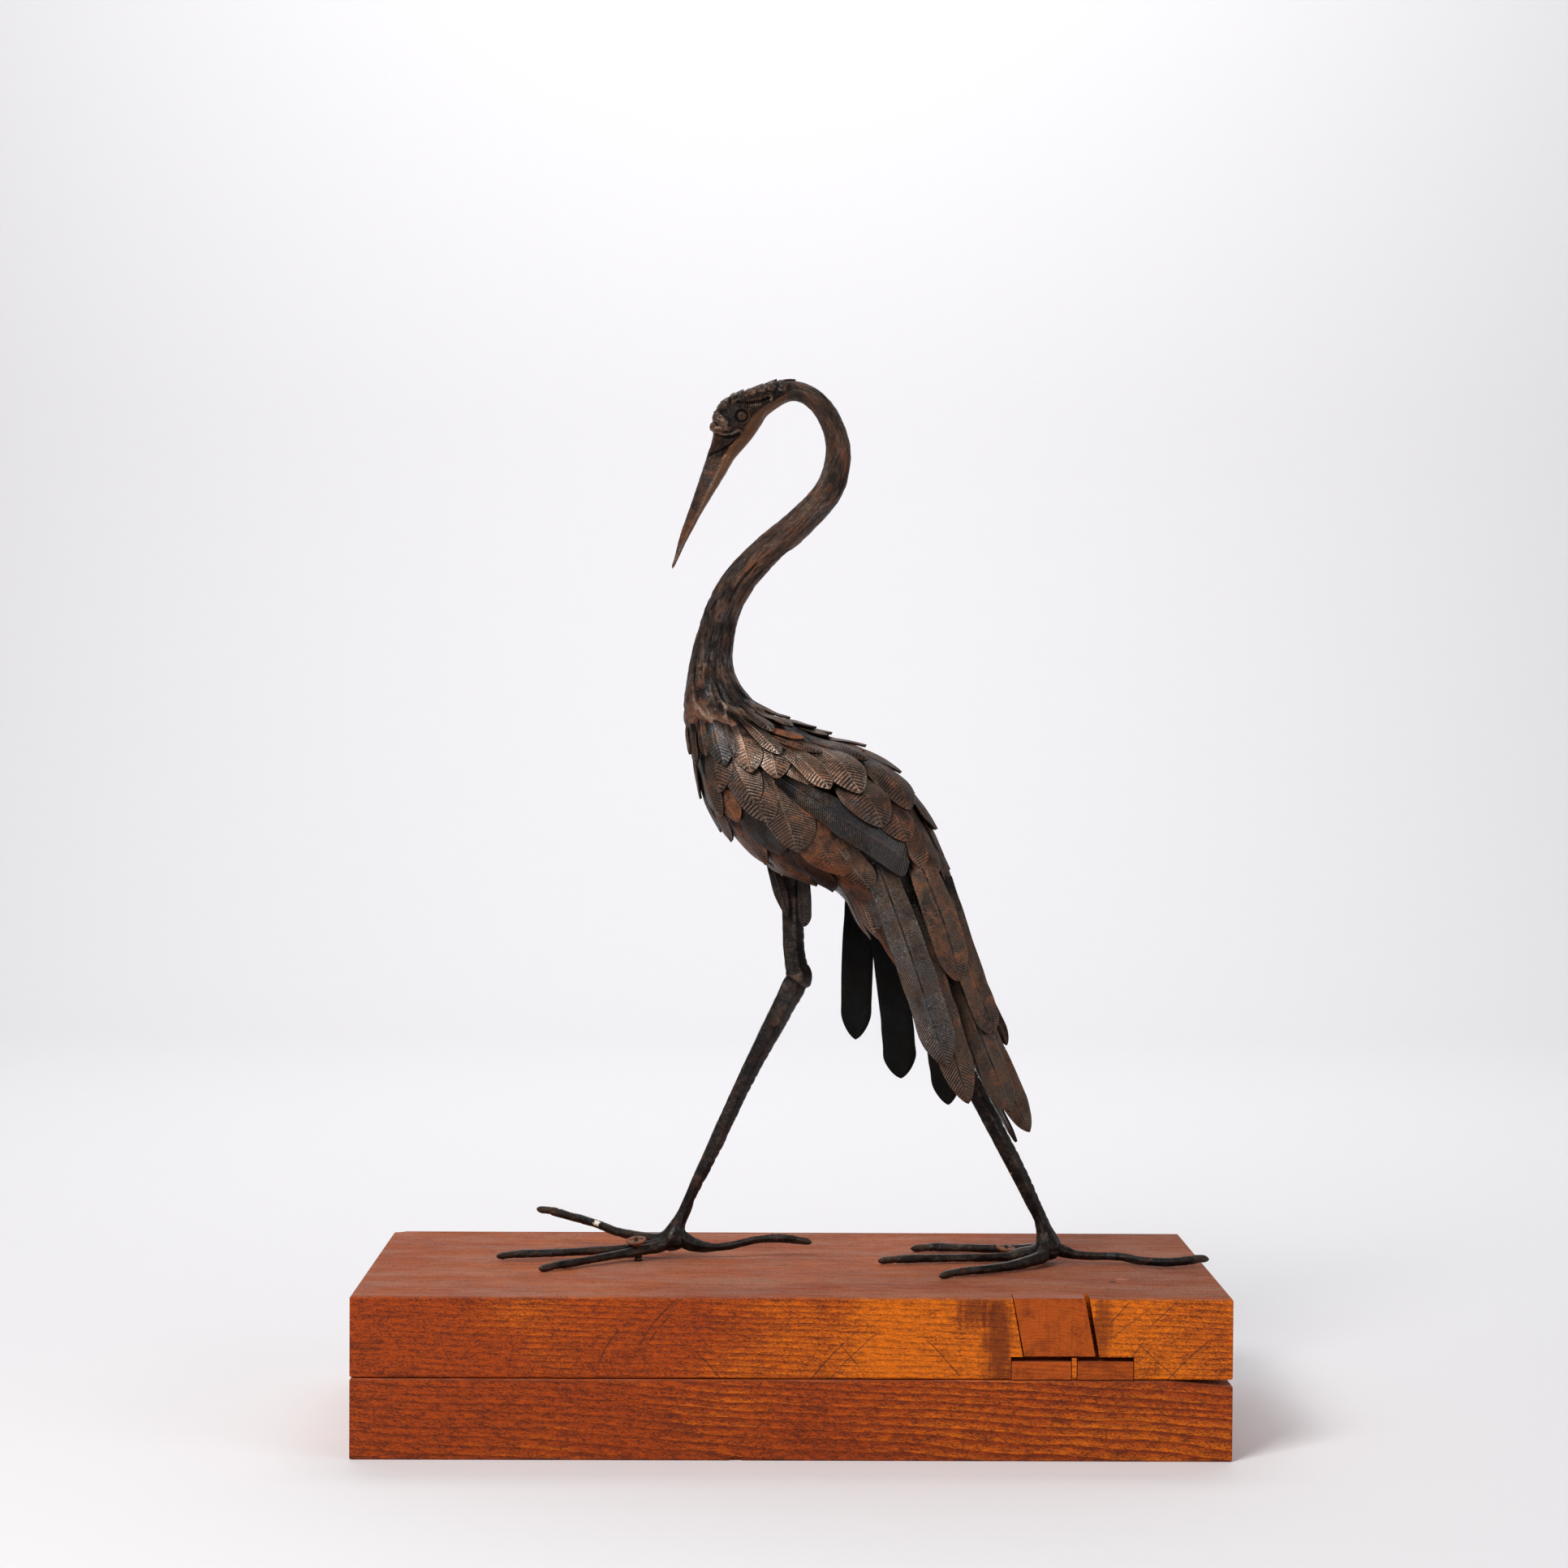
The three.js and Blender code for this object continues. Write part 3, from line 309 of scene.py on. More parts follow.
# Radius and height along the face of a screw's head, from its rim to its middle.
SCREW_FACE = np.array([
    (6.05, -0.9), (5.95, -0.45), (5.6, -0.15), (5.0, 0), (4.2, 0), (3.6, 0), (3.3, 0), (2.8, 0),
    (2.2, 0), (1.6, 0), (1.0, 0), (0.6, 0), (0.2, 0),
])

# Lines of the head's carving as seen from the side, (x, z).
BROW = [(-34.6, 598.6), (-32.0, 597.2), (-26.5, 596.9), (-19.3, 598.0), (-15.0, 600.0)]
LASHES = [(-29.5, 594.4), (-25.0, 594.9), (-20.5, 595.6), (-16.5, 597.6)]
LIP_RIDGE = [(-47.6, 581.8), (-45.4, 580.4), (-40.6, 578.3), (-36.5, 578.4), (-33.0, 580.0)]
LIP_GROOVE = [(-48.0, 579.6), (-44.4, 577.4), (-40.6, 576.3), (-36.5, 576.7), (-32.6, 578.6)]
JAW_GROOVE = [(-50.2, 566.2), (-43.8, 568.9), (-37.4, 572.4), (-31.6, 577.4)]
BEAK_RIDGE = [
    (-38.4, 570.7), (-42.2, 560.5), (-47.3, 550.8), (-53.2, 538.3), (-58.2, 527.1), (-64.3, 514.6),
    (-70.7, 502),
]
FACE_EDGE = [
    (-14.0, 597.0), (-19.5, 593.5), (-24.8, 588.4), (-28.6, 582.6), (-31.6, 577.4), (-37.4, 572.0),
    (-38.4, 570.7),
]
NOSE = [(-45.6, 588.9), (-43.2, 587.2), (-41.0, 585.0)]
MOUSTACHE = [(-48.2, 584.6), (-45.6, 582.4), (-41.6, 581.4), (-38.0, 581.6)]
BEAD_ROWS = [
    [(-38.4, 582.4), (-33.5, 583.4), (-28.8, 582.4)],
    [(-37.8, 580.2), (-34.4, 580.8), (-31.0, 581.0)],
    [(-36.6, 595.4), (-37.2, 591.0), (-36.6, 587.0), (-34.8, 584.6)],
    [(-38.8, 594.6), (-39.2, 590.8), (-38.6, 587.6)],
    [(-30.5, 595.9), (-27.0, 594.2), (-24.8, 591.4)],
]
EYE, NOSTRIL = (-30.8, 589.2), (-42.6, 588.4)
# Swells of the crown, seen from the side: centre, half sizes, turn in radians, height.
CROWN_SWELLS = [
    ((-46.6, 593.2), (2.8, 3.1), 0.0, 2.2), ((-41.6, 595.6), (4.6, 3.0), 0.5, 2.2),
    ((-40.6, 599.4), (3.4, 2.4), 0.5, 1.6), ((-35.4, 601.4), (3.6, 2.6), 0.4, 1.9),
    ((-30.0, 601.6), (3.4, 2.3), 0.3, 1.5), ((-24.6, 603.4), (3.8, 2.4), 0.2, 1.8),
    ((-18.8, 605.2), (3.4, 2.6), 0.3, 1.6), ((-13.2, 606.6), (3.6, 3.0), 0.6, 2.0),
    ((-7.0, 607.4), (3.4, 2.8), -0.6, 1.7), ((-5.6, 604.6), (2.0, 3.0), 0.2, 1.3),
    ((-49.2, 583.6), (2.4, 4.4), -0.15, 1.8),
]
# Leaf-shaped scales of the crest: root and tip as rib and angle, width, height, scallops.
CREST_LEAVES = [
    ((6.6, 26), (7.9, 14), 5.0, 1.5, 0.0), ((7.4, 14), (9.0, 5), 7.0, 1.8, 0.16),
    ((7.9, 44), (9.3, 30), 5.0, 1.4, 0.15), ((8.9, 12), (10.3, 8), 7.0, 1.5, 0.12),
    ((9.2, 40), (10.4, 28), 4.6, 1.3, 0.15), ((10.0, 14), (11.15, 4), 6.5, 1.9, 0.1),
    ((10.5, 44), (11.6, 36), 5.0, 1.3, 0.1), ((11.0, 14), (12.2, 7), 6.5, 0.9, 0.08),
    ((11.3, 52), (11.75, 88), 4.6, 1.5, 0.0),
]

# Saw marks on the upper board: centre and radius of each arc, the stretch of X it shows over,
# and its width, in millimetres.
SAW_MARKS = [
    ((-64.4, 41), 44.4, -112, -84, 0.7), ((-3.8, 19.8), 92.2, -90, -60, 0.9),
    ((-3.8, 19.8), 88.4, -86, -62, 0.6), ((-120, 10), 78, -186, -160, 0.5),
    ((150, -62), 176, -8, 40, 0.8), ((150, -62), 168, -12, 50, 0.5),
    ((330, -40), 172, 172, 200, 0.8), ((-170, -60), 168, -58, -20, 0.6),
    ((340, -70), 175, 196, 240, 0.7),
]
# Stains beside the repair: centre in X and Z, half sizes and strength, in metres.
STAINS = [
    (0.100, 0.084, 0.010, 0.010, 0.7), (0.1145, 0.066, 0.0085, 0.032, 0.75),
    (0.172, 0.076, 0.006, 0.02, 0.6),
]
# Cracks: a point in X and Z, lean, half length and half width, in metres.
CRACKS = [
    (0.085, 0.057, 0.9, 0.011, 0.0009), (0.031, 0.06, 0.8, 0.008, 0.0006),
    (0.203, 0.056, 1.1, 0.011, 0.0007), (0.182, 0.083, -0.9, 0.007, 0.0007),
    (0.188, 0.077, -1.3, 0.009, 0.0006), (0.206, 0.082, -1.1, 0.009, 0.0006),
]
# Lightness of the boards' front along X, in metres.
UPPER_LIGHTS = [
    (-0.24, -0.24), (-0.10, -0.12), (0.02, -0.02), (0.055, 0.32), (0.09, 0.16), (0.17, 0.26),
    (0.24, 0.12),
]
LOWER_LIGHTS = [(-0.24, -0.22), (0.0, -0.12), (0.24, -0.02)]
# Each board's wood. grain holds inputs of the wood's shader group for the front.
BOARDS = {
    "upper_board": {
        "shift": (0.0, 0.0, 0.0), "lights": UPPER_LIGHTS, "dusty": 1.0, "stains": STAINS,
        "cracks": CRACKS, "marks": SAW_MARKS, "grain": {
            "Line spacing": 0.0034, "Waviness": 0.0020, "Slope": 0.03, "Line strength": 0.34,
            "Mottle": 0.86, "Stroke lean": 0.5,
        },
    },
    "lower_board": {
        "shift": (0.7, 0.31, 0.2), "lights": LOWER_LIGHTS, "dusty": 0.6, "grain": {
            "Line spacing": 0.005, "Waviness": 0.0036, "Slope": 0.06, "Line strength": 0.52,
            "Mottle": 0.95, "Stroke lean": 1.4,
        },
    },
}
# Marks on the top of the boards, on a front toe and on the rear leg, in millimetres.
NAIL_HOLE, SCRATCH = (184, -58, BASE_TOP), (190, -50, BASE_TOP)
PAINT_SPOT, CHIP = (-116, 33, 109), (129.6, -3.5, 144.3)


# ---- Numbers on grids ----

def smooth_rows(rows, at):
    """Curve through evenly numbered rows: each value is a cubic of its four nearest rows."""
    last = len(rows) - 1
    start = np.clip(np.floor(at).astype(int), 0, last - 1)
    t = (at - start)[..., None]
    a, b, c, d = (rows[np.clip(start + k, 0, last)] for k in (-1, 0, 1, 2))
    return b + 0.5 * t * (c - a + t * (2 * a - 5 * b + 4 * c - d + t * (3 * (b - c) + d - a)))


def unit(vectors):
    """Vectors scaled to length one along the last axis."""
    return vectors / np.maximum(np.linalg.norm(vectors, axis=-1, keepdims=True), 1e-12)


def gaps(points):
    """Distances between neighbours in a line of points."""
    return np.linalg.norm(np.diff(points, axis=0), axis=1)


def run_along(points):
    """Distance walked along a line of points, from 0 at the first."""
    return np.concatenate([[0], np.cumsum(gaps(points))])


def soft_step(value, low, high):
    """0 below low, 1 above high, and a smooth S between."""
    t = np.clip((value - low) / (high - low), 0, 1)
    return t * t * (3 - 2 * t)


def smooth_noise(x, y, seed, period=4096):
    """Values from -1 to 1 drawn at whole numbers of x and y, blended between them; y repeats."""
    table = np.random.default_rng(seed).uniform(-1, 1, (256, 256))
    ix, iy = np.floor(x).astype(int), np.floor(y).astype(int)
    fx, fy = (f * f * (3 - 2 * f) for f in (x - ix, y - iy))
    col = [(iy % period) % 256, ((iy + 1) % period) % 256]
    near, far = (
        table[r % 256, col[0]] * (1 - fy) + table[r % 256, col[1]] * fy for r in (ix, ix + 1)
    )
    return near * (1 - fx) + far * fx


def stroke(x, z, points):
    """Distance of each (x, z) from a line through points, signed by side, and how far along it."""
    best = np.full(np.broadcast(x, z).shape, 1e6)
    signed, along = best.copy(), best.copy()
    run = 0.0
    for (x0, z0), (x1, z1) in zip(points, points[1:]):
        dx, dz = x1 - x0, z1 - z0
        length = math.hypot(dx, dz)
        t = np.clip(((x - x0) * dx + (z - z0) * dz) / length ** 2, 0, 1)
        gap = np.hypot(x - x0 - t * dx, z - z0 - t * dz)
        side = np.sign((x - x0) * dz - (z - z0) * dx)
        nearer = gap < best
        signed = np.where(nearer, side * gap, signed)
        along = np.where(nearer, run + t * length, along)
        best = np.minimum(gap, best)
        run += length
    return signed, along


def hump(distance, radius):
    """A round swell: 1 on the line, falling as a bell to nothing at about twice the radius."""
    return np.exp(-(distance / radius) ** 2)


def bulge(distance, radius):
    """The height of a circle's arc over its middle: 1 on the line and 0 at the radius."""
    return np.sqrt(np.clip(1 - (distance / radius) ** 2, 0, 1))


def dome(x, z, centre, radii, turn=0.0):
    """Height of half a ball stretched to radii and turned by an angle, 0 outside it."""
    c, s = math.cos(turn), math.sin(turn)
    dx, dz = x - centre[0], z - centre[1]
    u, v = (c * dx + s * dz) / radii[0], (c * dz - s * dx) / radii[1]
    return np.sqrt(np.clip(1 - u * u - v * v, 0, 1))


# ---- Meshes ----

def shell(verts, quads, tris, marks):
    """A closed shell with its faces outward: turned round if the pyramids from the origin to its
    faces add up to less than nothing."""
    corners = verts[np.concatenate([quads[:, [0, 1, 2]], quads[:, [0, 2, 3]], tris])]
    volume = np.einsum("ij,ij->", corners[:, 0], np.cross(corners[:, 1], corners[:, 2]))
    order = -1 if volume < 0 else 1
    return {"verts": verts, "quads": quads[:, ::order], "tris": tris[:, ::order], "marks": marks}


def tube(points, **marks):
    """Closed shell over rings of points: walls between neighbouring rings, a fan at each end.

    points is rows by places by 3. marks are named grids of one number for each point.
    """
    rows, count = points.shape[:2]
    ring = np.arange(count)
    start = (np.arange(rows - 1) * count)[:, None]
    after = (ring + 1) % count
    quads = np.stack([start + ring, start + after, start + after + count, start + ring + count], -1)
    verts = np.concatenate([points.reshape(-1, 3), points[[0, -1]].mean(axis=1)])
    first, tail = rows * count, (rows - 1) * count
    tris = np.concatenate([
        np.stack([np.full(count, first), after, ring], -1),
        np.stack([np.full(count, first + 1), tail + ring, tail + after], -1),
    ])
    values = {}
    for name, grid in marks.items():
        grid = np.broadcast_to(grid, (rows, count))
        values[name] = np.concatenate([grid.ravel(), grid[[0, -1]].mean(axis=1)])
    return shell(verts, quads.reshape(-1, 4), tris, values)


def piece(name, shells, material, nodes):
    """One object made of closed shells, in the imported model's place, standing for CAD nodes."""
    offsets = np.cumsum([0] + [len(s["verts"]) for s in shells])
    quads, tris = (
        np.concatenate([s[key] + o for s, o in zip(shells, offsets)]) for key in ("quads", "tris")
    )
    verts = np.concatenate([s["verts"] for s in shells]) * MM
    mesh = bpy.data.meshes.new(name)
    mesh.vertices.add(len(verts))
    mesh.vertices.foreach_set("co", verts.astype(np.float32).ravel())
    loops = np.concatenate([quads.ravel(), tris.ravel()]).astype(np.int32)
    mesh.loops.add(len(loops))
    mesh.loops.foreach_set("vertex_index", loops)
    starts = np.concatenate([np.arange(len(quads)) * 4, 4 * len(quads) + np.arange(len(tris)) * 3])
    mesh.polygons.add(len(starts))
    mesh.polygons.foreach_set("loop_start", starts.astype(np.int32))
    mesh.polygons.foreach_set("use_smooth", np.ones(len(starts), bool))
    mesh.update(calc_edges=True)
    for mark in sorted({key for s in shells for key in s["marks"]}):
        values = [s["marks"].get(mark, np.zeros(len(s["verts"]))) for s in shells]
        attribute = mesh.attributes.new(mark, "FLOAT", "POINT")
        attribute.data.foreach_set("value", np.concatenate(values).astype(np.float32))
    mesh.validate()
    mesh.materials.append(material)
    obj = bpy.data.objects.new(name, mesh)
    bpy.context.scene.collection.objects.link(obj)
    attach(obj, "root")
    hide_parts(*nodes)


# ---- The bird's skin ----

def skin_point(rib, angle):
    """Ellipse between the rib's two outline points, read at an angle from the back. Along the beak
    its flanks are flat, as if the ellipse were wider and cut off at half the width."""
    back_x, back_z, belly_x, belly_z, half = np.moveaxis(smooth_rows(RIBS, rib), -1, 0)
    across = np.cos(angle) / 2
    flattened = 1 / np.maximum(np.abs(np.sin(angle)), 1 / BEAK_SWELL) - 1
    half = half * (1 + soft_step(rib, *BEAK_ROUNDS) * flattened)
    return np.stack([
        (back_x + belly_x) / 2 + (back_x - belly_x) * across,
        PLANE_Y - half * np.sin(angle),
        (back_z + belly_z) / 2 + (back_z - belly_z) * across,
    ], -1)


def skin_middle(rib):
    """The point halfway between the back and the belly at a rib."""
    return (skin_point(rib, 0.0) + skin_point(rib, np.pi)) / 2


def skin_frame(rib, angle):
    """Ways along and around the skin per rib and radian, by small differences, and the normal."""
    step = 0.01
    along = (skin_point(rib + step, angle) - skin_point(rib - step, angle)) / (2 * step)
    around = (skin_point(rib, angle + step) - skin_point(rib, angle - step)) / (2 * step)
    return along, around, unit(np.cross(around, along))


def beside_quill(rib, angle, ribs, turns, across):
    """Points reached by a step across a quill along the skin, and the way out of the skin there.
    The quill stands at a rib and angle, and its whole length is so many ribs and turns."""
    along, around, normal = skin_frame(rib, angle)
    step = np.cross(normal, unit(along * ribs + around * turns)) * across[..., None]
    rib = rib + (step * along).sum(-1) / (along ** 2).sum(-1)
    angle = angle + (step * around).sum(-1) / (around ** 2).sum(-1)
    return skin_point(rib, angle), skin_frame(rib, angle)[2]


def skin_rows(zones):
    """Rib numbers spaced by a length of skin in millimetres that each zone states."""
    parts = []
    for low, high, spacing in zones:
        fine = np.linspace(low, high, 400)
        run = run_along(skin_middle(fine))
        count = max(2, int(run[-1] / spacing))
        parts.append(np.interp(np.linspace(0, run[-1], count + 1)[:-1], run, fine))
    return np.concatenate(parts + [[zones[-1][1]]])


def neck_relief(rib, turn, run):
    """Bark-like furrows along the neck: stretched noise, cut off above so that ridges stay flat.

    turn is the share of a full turn around the neck, and run is millimetres from the beak's tip.
    The furrows end in a ragged hem, a step over the collar's feathers.
    """
    wander = smooth_noise(run / 30, turn * 4, 11, 4)
    furrows = smooth_noise(run / 10, turn * 30 + wander, 12, 30)
    fine = smooth_noise(run / 6, turn * 58 + wander, 13, 58)
    flakes = smooth_noise(run / 2.2, turn * 40, 14, 40)
    barky = 0.35 + 1.0 * soft_step(rib, *FURROWS_GROW)
    depth = barky * (1.1 * np.minimum(furrows + 0.1, 0) + 0.5 * np.minimum(fine, 0)) + 0.16 * flakes
    share = soft_step(rib, *FURROWS_START) * (1 - soft_step(rib, *FURROWS_FADE))
    lumps = 0.5 * smooth_noise(run / 20, turn * 5, 15, 5)
    hem = HEM + 0.35 * smooth_noise(run * 0, turn * 22, 16, 22)
    hem = hem + 0.15 * smooth_noise(run * 0, turn * 50, 17, 50)
    step = 1.2 * soft_step(rib, hem - 0.6, hem - 0.05) * (1 - soft_step(rib, hem, hem + 0.1))
    return share * (depth + lumps) + step


def head_relief(x, z, flank, run):
    """Carving of the head as heights over (x, z) seen from the side, faded where the skin turns
    away. Returns the height, the bare warm throat, the face, and lit: wear and painted highlight on
    its raised parts, painted shade between them."""
    swells = np.zeros_like(x)
    for centre, radii, turn, rise in CROWN_SWELLS:
        swells = np.maximum(swells, rise * dome(x, z, centre, radii, turn) ** 0.6)
    nostril = hump(np.hypot(x - NOSTRIL[0], z - NOSTRIL[1]), 0.8)
    nose = 2.9 * bulge(stroke(x, z, NOSE)[0], 3.1) - 0.9 * nostril
    nose = np.maximum(nose, 1.7 * bulge(stroke(x, z, MOUSTACHE)[0], 1.7))

    side, along = stroke(x, z, BROW)
    ticks = 0.5 + 0.5 * np.cos(TURN * along / 1.36)
    both_sides = hump(np.abs(side) - 1.55, 0.95)
    carving = both_sides * (0.1 + 1.0 * ticks) - 1.1 * hump(side, 0.45)
    marks = both_sides * ticks
    side, along = stroke(x, z, LASHES)
    lashes = hump(side, 0.9) * (0.5 + 0.5 * np.cos(TURN * along / 1.3))
    carving += 0.8 * lashes
    for row in BEAD_ROWS:
        side, along = stroke(x, z, row)
        beads = hump(side, 0.6) * np.maximum(0, np.cos(TURN * along / 1.3))
        carving += 0.75 * beads
        marks = np.maximum(marks, 0.8 * beads)
    carving += 1.0 * hump(stroke(x, z, LIP_RIDGE)[0], 0.95)
    below_lip = stroke(x, z, LIP_GROOVE)[0]
    carving -= 1.1 * hump(below_lip, 0.6)
    above_jaw = stroke(x, z, JAW_GROOVE)[0]
    carving -= 1.3 * hump(above_jaw, 0.55)
    hatched = soft_step(below_lip, 0.5, 1.4) * soft_step(-above_jaw, 0.5, 1.4)
    carving += 0.3 * hatched * np.cos(TURN * (x - 0.25 * (z - 570)) / 1.1)
    beyond, along = stroke(x, z, BEAK_RIDGE)
    carving += 0.6 * hump(beyond, 0.9) * soft_step(along, 2, 8)
    throat = stroke(x, z, FACE_EDGE)[0]
    on_head = soft_step(z, 562, 568)
    carving -= 0.6 * soft_step(-throat, -0.3, 0.5) * (1 - soft_step(-throat, 4, 9)) * on_head
    carving -= 0.9 * hump(np.hypot(x - EYE[0], z - EYE[1]) - 3.6, 0.6)

    face = on_head * soft_step(throat, 0, 0.8)
    rough = 0.3 * smooth_noise(x / 0.8, z / 0.8, 21) + 0.4 * smooth_noise(x / 2.1, z / 2.1, 22)
    crown = soft_step(z - (0.28 * x + 606.5), -4.5, -0.5) * on_head
    plain = 0.1 * smooth_noise(run / 0.9, z * 1.3, 23) * (1 - on_head)
    nose = np.maximum(nose, 0) * (0.3 + 0.7 * flank)
    rough = rough * (0.8 * crown + 0.3 * face * (nose < 0.5))
    height = swells + nose + flank * carving + rough + plain
    warm = soft_step(-throat, -0.3, 0.3) * on_head
    warm = warm + soft_step(-beyond, -0.2, 0.2) * (1 - on_head)
    # Raised parts get wear and a painted highlight; elsewhere lit stays low, which paints the face
    # dark as shade.
    highlit_and_worn = [swells / 2.2, nose / 1.6, marks, lashes, hump(below_lip + 1.9, 0.9)]
    raised = np.clip(np.maximum.reduce(highlit_and_worn), 0, 1)
    lit = 0.12 + 0.85 * raised * (0.75 + 0.25 * smooth_noise(x / 1.1, z / 1.1, 25))
    return height, warm, face * (1 - hatched * 0.6), lit


def bird_skin(zones):
    """A stretch of the skin: the rib ellipses pushed out along their normals by the relief."""
    angle = (TURN * (np.arange(SKIN_COLUMNS) + 0.5) / SKIN_COLUMNS)[None, :]
    rib, angle = np.broadcast_arrays(skin_rows(zones)[:, None], angle)
    points = skin_point(rib, angle)
    line = np.linspace(0, len(RIBS) - 1, 4000)
    run = np.interp(rib, line, run_along(skin_middle(line)))
    flank = soft_step(np.abs(np.sin(angle)), 0.12, 0.45)
    head = 1 - soft_step(rib, *HEAD_FADES)
    carved, warm, face, lit = head_relief(points[..., 0], points[..., 2], flank, run)
    relief = head * carved + neck_relief(rib, angle / TURN, run)
    # On the face the ridge mark takes lit: painted highlight on the raised carving, painted shade
    # between.
    shade = head * face * flank
    ridge = np.clip(0.64 + relief * 0.5 * (1 - 0.25 * head), 0, 1) * (1 - shade) + lit * shade
    # Painted shade on the skin under the coat, so that the gaps between the feathers read dark.
    painted_shade_under_coat = soft_step(rib, *COAT_COVERS)
    return tube(
        points + skin_frame(rib, angle)[2] * relief[..., None],
        ridge=ridge * (1 - 0.75 * painted_shade_under_coat), warm=head * warm, neck=1 - head,
        stroke_x=run / 9, stroke_y=10 * np.cos(angle), stroke_z=10 * np.sin(angle),
    )


# ---- Feathers ----

def feather_share(t, root_share, tip_length):
    """Width along a feather as a share: a quarter sine up from the root, then a pointed arch."""
    body = root_share + (1 - root_share) * np.sin(np.minimum(t / 0.6, 1) * np.pi / 2)
    to_tip = np.clip((t - 1 + tip_length) / tip_length, 0, 1)
    return body * (1 - to_tip ** 1.8) ** 0.72


def vane(length, width, root_share, tip_length, slant, quill, barbs, seed, skew=0.0):
    """A feather laid flat: rows follow its barbs, from the quill slanting forward to the edge.

    Each barb is three rows, a furrow and two on its crest. Heights are camber across, the barbs'
    crests, the roof-shaped quill and a thin rim. Returns places along, across and up.
    """
    sizes = bpy.context.scene.crane_sizes
    count = max(8, round(length / (sizes.barb_pitch / MM)))
    rows = 3 * count + 1
    edge = np.linspace(0, length, rows)[:, None]
    t = edge / length
    ragged = 1 + 0.035 * smooth_noise(edge / 9, np.full_like(edge, seed * 0.7), 31)
    half = np.maximum(width / 2 * feather_share(t, root_share, tip_length) * ragged, 0.15)
    crest = (np.arange(rows) % 3 > 0)[:, None].astype(float)
    start = edge - slant * half * np.minimum(1, edge / (slant * width))
    sway = 0.07 * width * np.random.default_rng(seed).uniform(-1, 1) * np.sin(np.pi * t)

    def laid(columns):
        share = np.abs(columns)[None, :]
        along = start + (edge - start) * share ** 1.2
        across = columns[None, :] * half * (1 + 0.02 * (crest - 1) * (share > 0.99)) + sway
        along = along - skew * across * np.clip(along / length, 0, 1) ** 2
        dents = 0.4 * smooth_noise(along / 11 + seed, across / 7, 32 + seed % 7)
        return along, across, share, CAMBER * width * (1 - share ** 2) + dents

    along, across, share, top = laid(TOP_COLUMNS)
    quill_half = np.maximum(quill * (1 - 0.8 * t), 0.3)
    roof = np.clip(1.25 - np.abs(across - sway) / quill_half, 0, 1)
    smooth = soft_step(roof, 0.0, 0.3)
    patchy = 0.75 + 0.5 * smooth_noise(along / 8 + seed, across / 6, 41)
    barb_height = sizes.barb_depth / MM * barbs * (crest - 0.5) * (1 - smooth)
    barb_height = barb_height * soft_step(1 - share, 0, 0.05) * patchy
    rim = 0.3 * soft_step(share, 0.88, 0.96) * soft_step(t, 0.35, 0.7)
    slot = hump((across - sway) / np.maximum(quill_half, 1), 0.22) * (quill > 1)
    slot = slot * soft_step(t, 0.0, 0.15)
    top = top + barb_height + (0.45 + 0.12 * quill) * roof * (1 - 0.6 * t) + rim
    top = top - 0.6 * slot * (1 - 0.5 * t)
    furrowed = (crest - 0.66) * (0.2 + 0.65 * barbs) * (1 - smooth) * np.clip(patchy, 0.3, 1)
    raised = 0.2 * np.maximum(roof, soft_step(share, 0.85, 0.97))
    ridge = np.clip(0.7 + furrowed + raised - 0.5 * slot, 0, 1)
    under_along, under_across, under_share, under = laid(UNDER_COLUMNS)

    def both(upper, lower):
        return np.concatenate([upper + np.zeros_like(top), lower + np.zeros_like(under)], axis=1)

    # under is 1 on the underside, which the metal paints nearly black as shade.
    return {
        "along": both(along, under_along), "across": both(across, under_across),
        "up": both(top, under - sizes.plate_thickness / MM), "ridge": both(ridge, 0.5),
        "share": both(share, under_share), "under": both(0.0, 1.0), "t": both(t, t),
    }


def marked(points, laid, finish, shift, root_shade_end=0.55):
    """Closed shell of a feather, with what its metal's colour reads: barbs, sides and finish. Its
    root, which lies under other feathers, gets painted shade up to the share root_shade_end of its
    length."""
    rust, steel, wear, _, tone = FINISHES[finish]
    edge = 1 - 0.35 * soft_step(laid["share"], 0.96, 1.0)
    # Painted shade fades out from the root along the feather.
    ridge = laid["ridge"] * edge * (0.2 + 0.8 * soft_step(laid["t"], 0.05, root_shade_end))
    return tube(
        points, ridge=ridge, under=laid["under"], tone=np.clip(tone + shift, 0, 1),
        rust=rust, steel=steel, wear=wear,
    )


def coat_feather(root, tip, width, raised, finish, side, seed):
    """A small feather on the skin: its quill runs evenly in rib and angle from root to tip, places
    across it are steps along the skin, and it rises from sunk at the root to lifted at the tip."""
    sizes = bpy.context.scene.crane_sizes
    lift, sink = sizes.coat_lift / MM, sizes.coat_sink / MM
    chance = np.random.default_rng(seed)
    first, last = (side * math.radians(a) for a in (root[1], tip[1]))
    ribs, turns = tip[0] - root[0], last - first
    line = np.linspace(0, 1, 25)
    length = float(gaps(skin_point(root[0] + ribs * line, first + turns * line)).sum())
    tip_length = min(0.75, 0.85 * width / length)
    laid = vane(length, width * 1.08, 0.6, tip_length, 0.6, 0.7, FINISHES[finish][3], seed)
    t = laid["along"] / length
    rib, angle = root[0] + ribs * t, first + turns * t
    surface, outward = beside_quill(rib, angle, ribs, turns, laid["across"])
    tilt = chance.uniform(-0.05, 0.05)
    height = -sink + (lift + sink) * t + raised * soft_step(t, 0.1, 0.8) + laid["up"]
    height = height + tilt * laid["across"]
    return marked(
        surface + outward * height[..., None], laid, finish, chance.uniform(-0.15, 0.15),
    )


